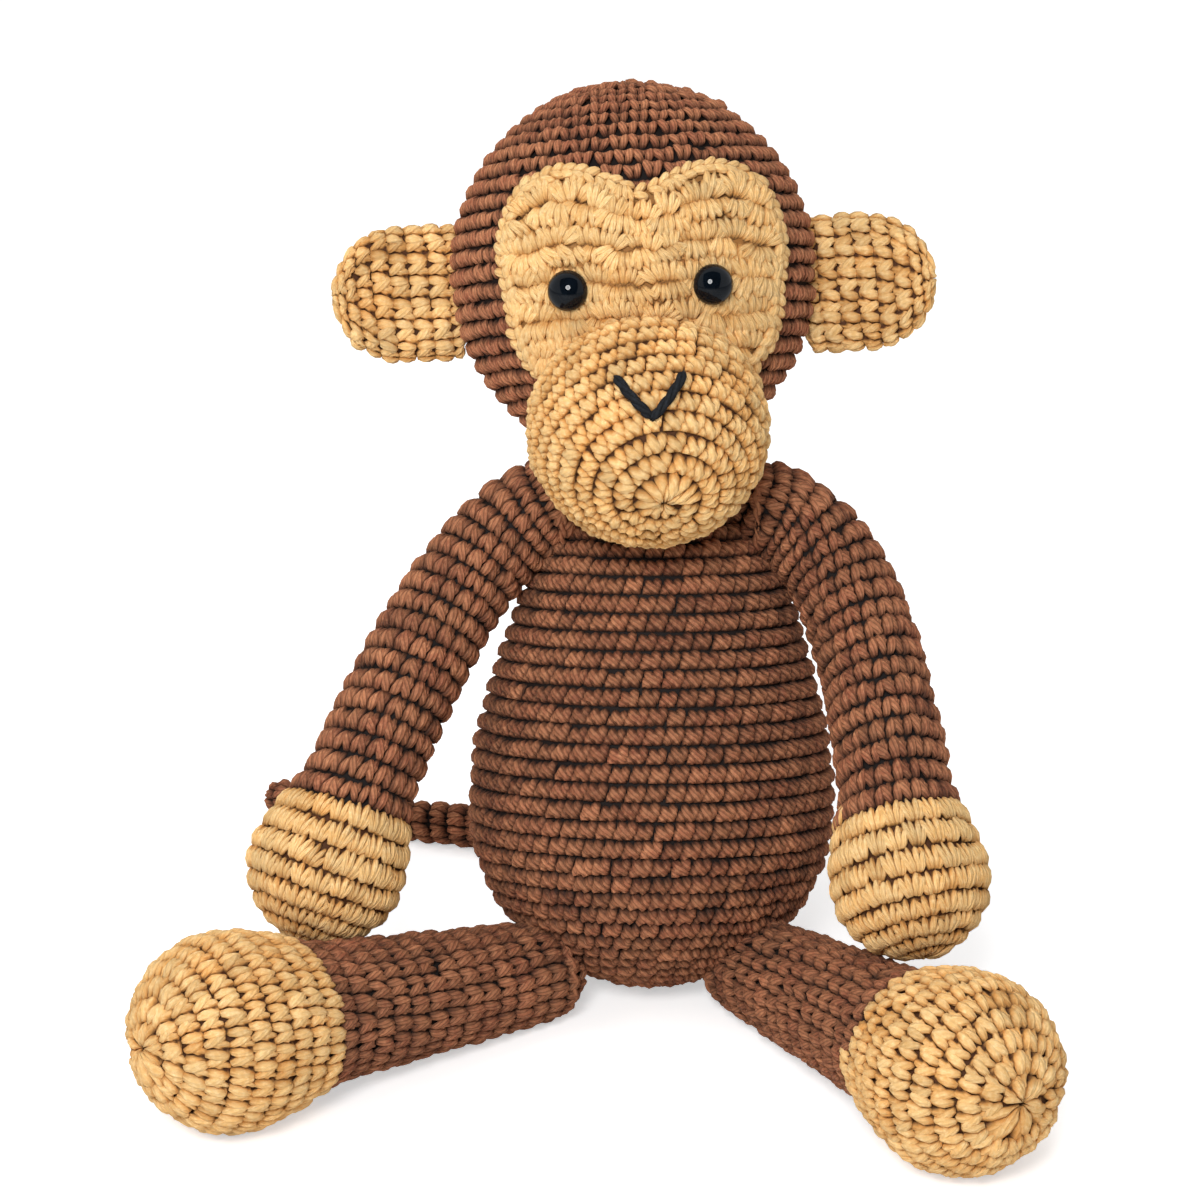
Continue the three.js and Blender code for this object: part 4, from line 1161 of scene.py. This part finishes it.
def add_face_base(heap, edge):
    """Adds the closed cloth under the stitches of the face, painted dark as shade."""
    rings = len(PATCH_BASE) - 1
    sphere, faces, _ = ball(PATCH_CORNERS // 2, rings)
    level = np.round(np.arccos(np.clip(sphere[:, 2], -1, 1)) / math.pi * rings).astype(int)
    share = np.array(PATCH_BASE)[level]
    around = np.arctan2(sphere[:, 0], sphere[:, 1]) / TURN
    corner = np.round(around * PATCH_CORNERS).astype(int) % PATCH_CORNERS
    middle = np.array([PATCH_SHIFT, PATCH_MIDDLE])
    flat = middle + (edge[corner] - middle) * share[:, :1]
    here, _ = on_face(flat[:, 0], flat[:, 1], share[:, 1])
    heap.add(moved(HEAD, here), [face[::-1] for face in faces], depth=0.34)


def add_face_rows(heap, edge, rng):
    """Adds the wavy rows of the face, inside its edge and clear of the eyes and the muzzle."""
    brow, brow_spread, brow_height = PATCH_BROW
    dimple_width, dimple_depth = EYE_DIMPLE
    for k, level in enumerate(np.arange(*PATCH_LEVELS, PATCH_ROW)):
        x = 46 * np.sin(np.linspace(-1.1, 1.1, PATCH_ROW_STITCHES) + 0.04 * (k % 2))
        across = np.clip(np.abs(x - PATCH_SHIFT) / PATCH_WIDTH, 0, 1)
        lobes = PATCH_LOBE_RISE * (1 - np.cos(TURN * across))
        z = level + np.interp(level, (-10, 17), (0, 1)) * lobes + 0.4 * np.sin(x / 7 + k)
        # The rows are worked to and fro, so every other one stands on its head
        angle = np.arctan(np.gradient(z, x)) + (math.pi if k % 2 else 0)
        here, _ = on_face(x, z, 3.0)
        keep = inside(edge, x, z, 3.0) & ~in_muzzle(moved(HEAD, here), 3)
        lift = PATCH_THICKNESS + brow_height * np.exp(-((z - brow - lobes / 2) / brow_spread) ** 2)
        for eye_x, eye_z in EYE_PLACES.values():
            away = np.hypot(x - eye_x, z - eye_z)
            keep &= away > EYE_CLEARANCE
            lift -= dimple_depth * np.exp(-(away / dimple_width) ** 2)
        size = 0.86 + lobes / 30
        sew_on(heap, FAN, x[keep], z[keep], angle[keep], lift[keep], size[keep], rng, jitter=1.2)


def add_face_binding(heap, girth, rng):
    """Adds the two rounds of slanting stitches that bind the edge of the face."""
    spots, _ = patch_edge(int(girth / 2.9))
    along = np.roll(spots, -1, axis=0) - np.roll(spots, 1, axis=0)
    angle = np.arctan2(along[:, 1], along[:, 0])
    inward = np.stack([np.sin(angle), -np.cos(angle)], 1)
    for shift, lift, lean in PATCH_BINDING:
        x, z = (spots + shift * inward).T
        # None at the notch between the lobes, where they would cross
        keep = np.hypot(x - PATCH_SHIFT, z - PATCH_EDGE[0][1]) > shift
        sew_on(
            heap, BINDING, x[keep], z[keep], angle[keep] + lean, np.full(keep.sum(), lift), 0.85, rng,
            jitter=0.7,
        )


class MONKEY_OT_face(bpy.types.Operator):
    """Crochets the flat face in wavy rows and binds its edge"""

    bl_idname = "monkey.face"
    bl_label = "Face"

    def execute(self, context):
        settings = context.scene.monkey
        rng = np.random.default_rng(settings.seed + 50)
        heap = Heap()
        edge, girth = patch_edge(PATCH_CORNERS)
        add_face_base(heap, edge)
        add_face_rows(heap, edge, rng)
        add_face_binding(heap, girth, rng)
        piece = heap.build("crocheted_face", tan_yarn(settings))
        ready(piece, "head", "face_patch")
        return {"FINISHED"}


class MONKEY_OT_eyes(bpy.types.Operator):
    """Turns the safety eyes, each a glossy dome on a shank"""

    bl_idname = "monkey.eyes"
    bl_label = "Eyes"

    def execute(self, context):
        radius = context.scene.monkey.eye_radius / MM
        for side, (x, z) in EYE_PLACES.items():
            here, out = on_face(np.array([x]), np.array([z]), np.array([EYE_LIFT]))
            place = HEAD @ frame_of(here[0], Vector(out[0]).to_track_quat("Z", "X").to_matrix().to_4x4())
            dome = np.radians(np.arange(7.5, 90, 7.5))
            profile = [
                (0, EYE_RIM + EYE_HEIGHT),
                *zip(radius * np.sin(dome), EYE_RIM + EYE_HEIGHT * np.cos(dome)),
                (radius, EYE_RIM), (radius, EYE_RIM / 2), (radius - 0.3, 0),
                (SHANK_RADIUS, 0), (SHANK_RADIUS, -SHANK_LENGTH), (0, -SHANK_LENGTH),
            ]
            bm = bmesh.new()
            verts = [bm.verts.new((r, 0, h)) for r, h in profile]
            edges = [bm.edges.new(pair) for pair in zip(verts, verts[1:])]
            bmesh.ops.spin(
                bm, geom=[*verts, *edges], axis=(0, 0, 1), cent=(0, 0, 0), angle=TURN, steps=48,
                use_merge=True,
            )
            bmesh.ops.remove_doubles(bm, verts=bm.verts, dist=1e-4)
            bmesh.ops.recalc_face_normals(bm, faces=bm.faces)
            bm.transform(Matrix.Scale(MM, 4) @ place)
            for face in bm.faces:
                face.smooth = True
            mesh = bpy.data.meshes.new(f"safety_eye_{side}")
            bm.to_mesh(mesh)
            bm.free()
            mesh.materials.append(black_plastic())
            piece = bpy.data.objects.new(f"safety_eye_{side}", mesh)
            context.scene.collection.objects.link(piece)
            ready(piece, "head", f"eye_{side}")
        return {"FINISHED"}


def twisted_yarn(name, centre, out, radius, plies, turns, rings, depth, finish):
    """A twisted yarn along a line of places, with the directions out of the cloth at them."""
    sphere, faces, corners = ball(8, rings)
    t = np.arccos(np.clip(sphere[:, 2], -1, 1)) / math.pi
    angle = np.arctan2(sphere[:, 1], sphere[:, 0])
    tip = np.clip(np.minimum(t, 1 - t) * 14, 0, 1) ** 0.5 * (np.hypot(sphere[:, 0], sphere[:, 1]) > 1e-4)
    length = np.linspace(0, 1, len(centre))
    here, normal = between(t, length, centre), between(t, length, out)
    side = np.cross(unit(between(t, length, np.gradient(centre, axis=0))), normal)
    ply = 0.58 * radius
    heap = Heap()
    for k in range(plies):
        turn = TURN * (k / plies + turns * t)
        across = (radius - ply) * np.cos(turn) + ply * tip * np.cos(angle)
        lift = (radius - ply) * np.sin(turn) + ply * tip * np.sin(angle)
        points = here + across[:, None] * side + lift[:, None] * normal
        heap.add(points, faces, corners * (2, 1), depth)
    return heap.build(name, finish)


class MONKEY_OT_nose(bpy.types.Operator):
    """Sews the nose, two long stitches of black yarn that meet in a V"""

    bl_idname = "monkey.nose"
    bl_label = "Nose"

    def execute(self, context):
        for side, sign in SIDES:
            t = np.linspace(-0.06, 1.06, 40)  # a little past both ends of the stitch
            (top_x, top_y), (point_x, point_y) = NOSE_STITCHES[side]
            x, y = point_x + (top_x - point_x) * t, point_y + (top_y - point_y) * t
            z = MUZZLE_FRONT * np.sqrt(1 - (x / MUZZLE_RADIUS) ** 2 - (y / MUZZLE_HALF_HEIGHT) ** 2)
            here = np.stack([x, y, z], 1)
            out = unit(here / np.array([MUZZLE_RADIUS, MUZZLE_HALF_HEIGHT, MUZZLE_FRONT]) ** 2)
            # Both ends go into the cloth, and where the stitches meet, the left one lies on top
            sunk = 17.6 * (np.clip(0.04 - t, 0, 1) + np.clip(t - 0.94, 0, 1))
            centre = moved(MUZZLE, here + (NOSE_LIFT + NOSE_OVERLAP * sign - sunk)[:, None] * out)
            turned = out @ np.array(MUZZLE)[:3, :3].T
            piece = twisted_yarn(
                f"nose_yarn_{side}", centre, turned, NOSE_YARN_RADIUS, plies=3, turns=1.3, rings=36,
                depth=1.0, finish=black_yarn(),
            )
            ready(piece, "head", f"nose_stitch_{side}")
        return {"FINISHED"}


class MONKEY_OT_seams(bpy.types.Operator):
    """Crochets the neck and lays the sewing yarn round each limb's root"""

    bl_idname = "monkey.seams"
    bl_label = "Seams"

    def execute(self, context):
        settings = context.scene.monkey
        cloth = Cloth(
            np.array(NECK_OUTLINE), lambda p: moved(TORSO, p + (HEAD_SIDE / 2, 0, 0)), settings.body_row / MM,
            squeeze=outside_head(-1),
        )
        piece = crochet(
            "neck_sewing", cloth, settings, brown_yarn(settings), SLANTED, deeper(outside_head, 4),
            seed=60, lean=LEAN,
        )
        ready(piece, "torso", "neck_seam")
        angle = np.linspace(0, TURN, 73)[:, None]
        for side, sign in SIDES:
            turn = LEG_PATHS[side][1]
            for joint, centre, axis, radius in (
                ("shoulder", shoulder_place(sign), (sign, 0, 0), ARM_RADII[0]),
                ("hip", hip_place(side), (sign * math.cos(turn), -math.sin(turn), 0), LEG_RADII[0]),
            ):
                level = np.cross(axis, [0, 0, 1])
                out = np.cos(angle) * level + np.sin(angle) * np.cross(level, axis)
                ring = centre - SEWING_TUCK * np.array(axis) + (radius - SEWING_SINK) * out
                # Depth 0.8 paints a little shade on the sewing yarn
                piece = twisted_yarn(
                    f"{joint}_sewing_{side}", ring, out, SEWING_RADIUS, plies=2, turns=9, rings=120,
                    depth=0.8, finish=brown_yarn(settings),
                )
                ready(piece, f"{joint}_{side}", f"{joint}_seam_{side}")
        return {"FINISHED"}


class MONKEY_OT_inside(bpy.types.Operator):
    """Finishes what the covers hold: the filling, the rattle, its beads and the eye washers"""

    bl_idname = "monkey.inside"
    bl_label = "Inside"

    def execute(self, context):
        for name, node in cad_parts.items():
            if "stuffing" in name:
                finish = filling()
            elif "bead" in name:
                finish = moulded("moulded_red_polypropylene", ("#b5302b", "#cf4a40"), 0.35)
            elif "shell" in name or "washer" in name:
                finish = moulded("moulded_white_polypropylene", ("#dedbd3", "#f0eee8"), 0.42)
            else:
                continue
            for place in node.material_slots:
                place.material = finish
        return {"FINISHED"}


def stage_plane(name, size, finish):
    """A flat square of the stage, which isn't part of the toy."""
    bm = bmesh.new()
    bmesh.ops.create_grid(bm, x_segments=1, y_segments=1, size=size)
    mesh = bpy.data.meshes.new(name)
    bm.to_mesh(mesh)
    bm.free()
    mesh.materials.append(finish)
    made = bpy.data.objects.new(name, mesh)
    bpy.context.scene.collection.objects.link(made)
    return made


def studio_world():
    """A white room for the camera and for reflections, which lights the toy only dimly."""
    world = bpy.data.worlds.new("studio")
    world.use_nodes = True
    tree = world.node_tree
    tree.nodes.clear()
    path = add_node(tree, "ShaderNodeLightPath")
    mirrored = add_node(
        tree, "ShaderNodeMath",
        {0: path.outputs["Is Glossy Ray"], 1: path.outputs["Is Transmission Ray"]}, operation="MAXIMUM",
    )
    direct = add_node(
        tree, "ShaderNodeMath",
        {0: path.outputs["Is Camera Ray"], 1: mirrored.outputs["Value"]}, operation="MAXIMUM",
    )
    strength = add_node(
        tree, "ShaderNodeMapRange", {"Value": direct.outputs["Value"], "To Min": 0.42, "To Max": 1.0},
    )
    back = add_node(
        tree, "ShaderNodeBackground", {"Color": (1, 1, 1, 1), "Strength": strength.outputs["Result"]},
    )
    add_node(tree, "ShaderNodeOutputWorld", {"Surface": back.outputs["Background"]})
    return world


class MONKEY_OT_stage(bpy.types.Operator):
    """Sets the pale floor, the soft studio light and the camera"""

    bl_idname = "monkey.stage"
    bl_label = "Stage"

    def execute(self, context):
        scene = context.scene
        stage_plane("floor", 3, background_paper())
        card = stage_plane("dark_card", 2.6, black_felt())
        card.location = (0, -1.8, 1.75)
        card.rotation_euler = (Vector((0, 0, 0.1)) - card.location).to_track_quat("Z", "Y").to_euler()
        card.visible_camera = card.visible_diffuse = card.visible_shadow = False
        scene.world = studio_world()

        for name, place, size, power, mirrored, lights_cloth in LAMPS:
            lamp = bpy.data.lights.new(name, "AREA")
            lamp.shape = "DISK"
            lamp.size = size
            lamp.energy = power
            made = bpy.data.objects.new(name, lamp)
            made.visible_glossy = mirrored
            made.visible_diffuse = lights_cloth
            made.location = place
            made.rotation_euler = (CAMERA_TARGET - Vector(place)).to_track_quat("-Z", "Y").to_euler()
            scene.collection.objects.link(made)

        camera = bpy.data.cameras.new("camera")
        camera.lens = CAMERA_LENS
        camera.sensor_width = 36
        camera.clip_start = 0.05
        holder = bpy.data.objects.new("camera", camera)
        back = Vector((0, -math.cos(CAMERA_TILT), math.sin(CAMERA_TILT)))
        holder.location = CAMERA_TARGET + CAMERA_DISTANCE * back
        holder.rotation_euler = (math.pi / 2 - CAMERA_TILT, 0, 0)
        scene.collection.objects.link(holder)
        scene.camera = holder
        scene.view_settings.view_transform = "Standard"
        return {"FINISHED"}


class MONKEY_PT_panel(bpy.types.Panel):
    """Lists the pieces of the toy"""

    bl_label = "Monkey rattle"
    bl_idname = "MONKEY_PT_panel"
    bl_space_type = "VIEW_3D"
    bl_region_type = "UI"
    bl_category = "Monkey"

    def draw(self, context):
        for key in MonkeySettings.__annotations__:
            self.layout.prop(context.scene.monkey, key)
        for operator in OPERATORS:
            self.layout.operator(operator.bl_idname)


OPERATORS = (
    MONKEY_OT_body, MONKEY_OT_head, MONKEY_OT_face, MONKEY_OT_muzzle, MONKEY_OT_eyes, MONKEY_OT_nose,
    MONKEY_OT_ears, MONKEY_OT_arms, MONKEY_OT_legs, MONKEY_OT_tail, MONKEY_OT_seams, MONKEY_OT_inside,
    MONKEY_OT_stage,
)
CLASSES = (MonkeySettings, *OPERATORS, MONKEY_PT_panel)


def register():
    for item in CLASSES:
        bpy.utils.register_class(item)
    bpy.types.Scene.monkey = PointerProperty(type=MonkeySettings)


def unregister():
    del bpy.types.Scene.monkey
    for item in reversed(CLASSES):
        bpy.utils.unregister_class(item)


def main():
    """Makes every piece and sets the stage."""
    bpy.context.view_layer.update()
    register()
    for operator in OPERATORS:
        group, name = operator.bl_idname.split(".")
        getattr(getattr(bpy.ops, group), name)()


if __name__ == "__main__":
    main()
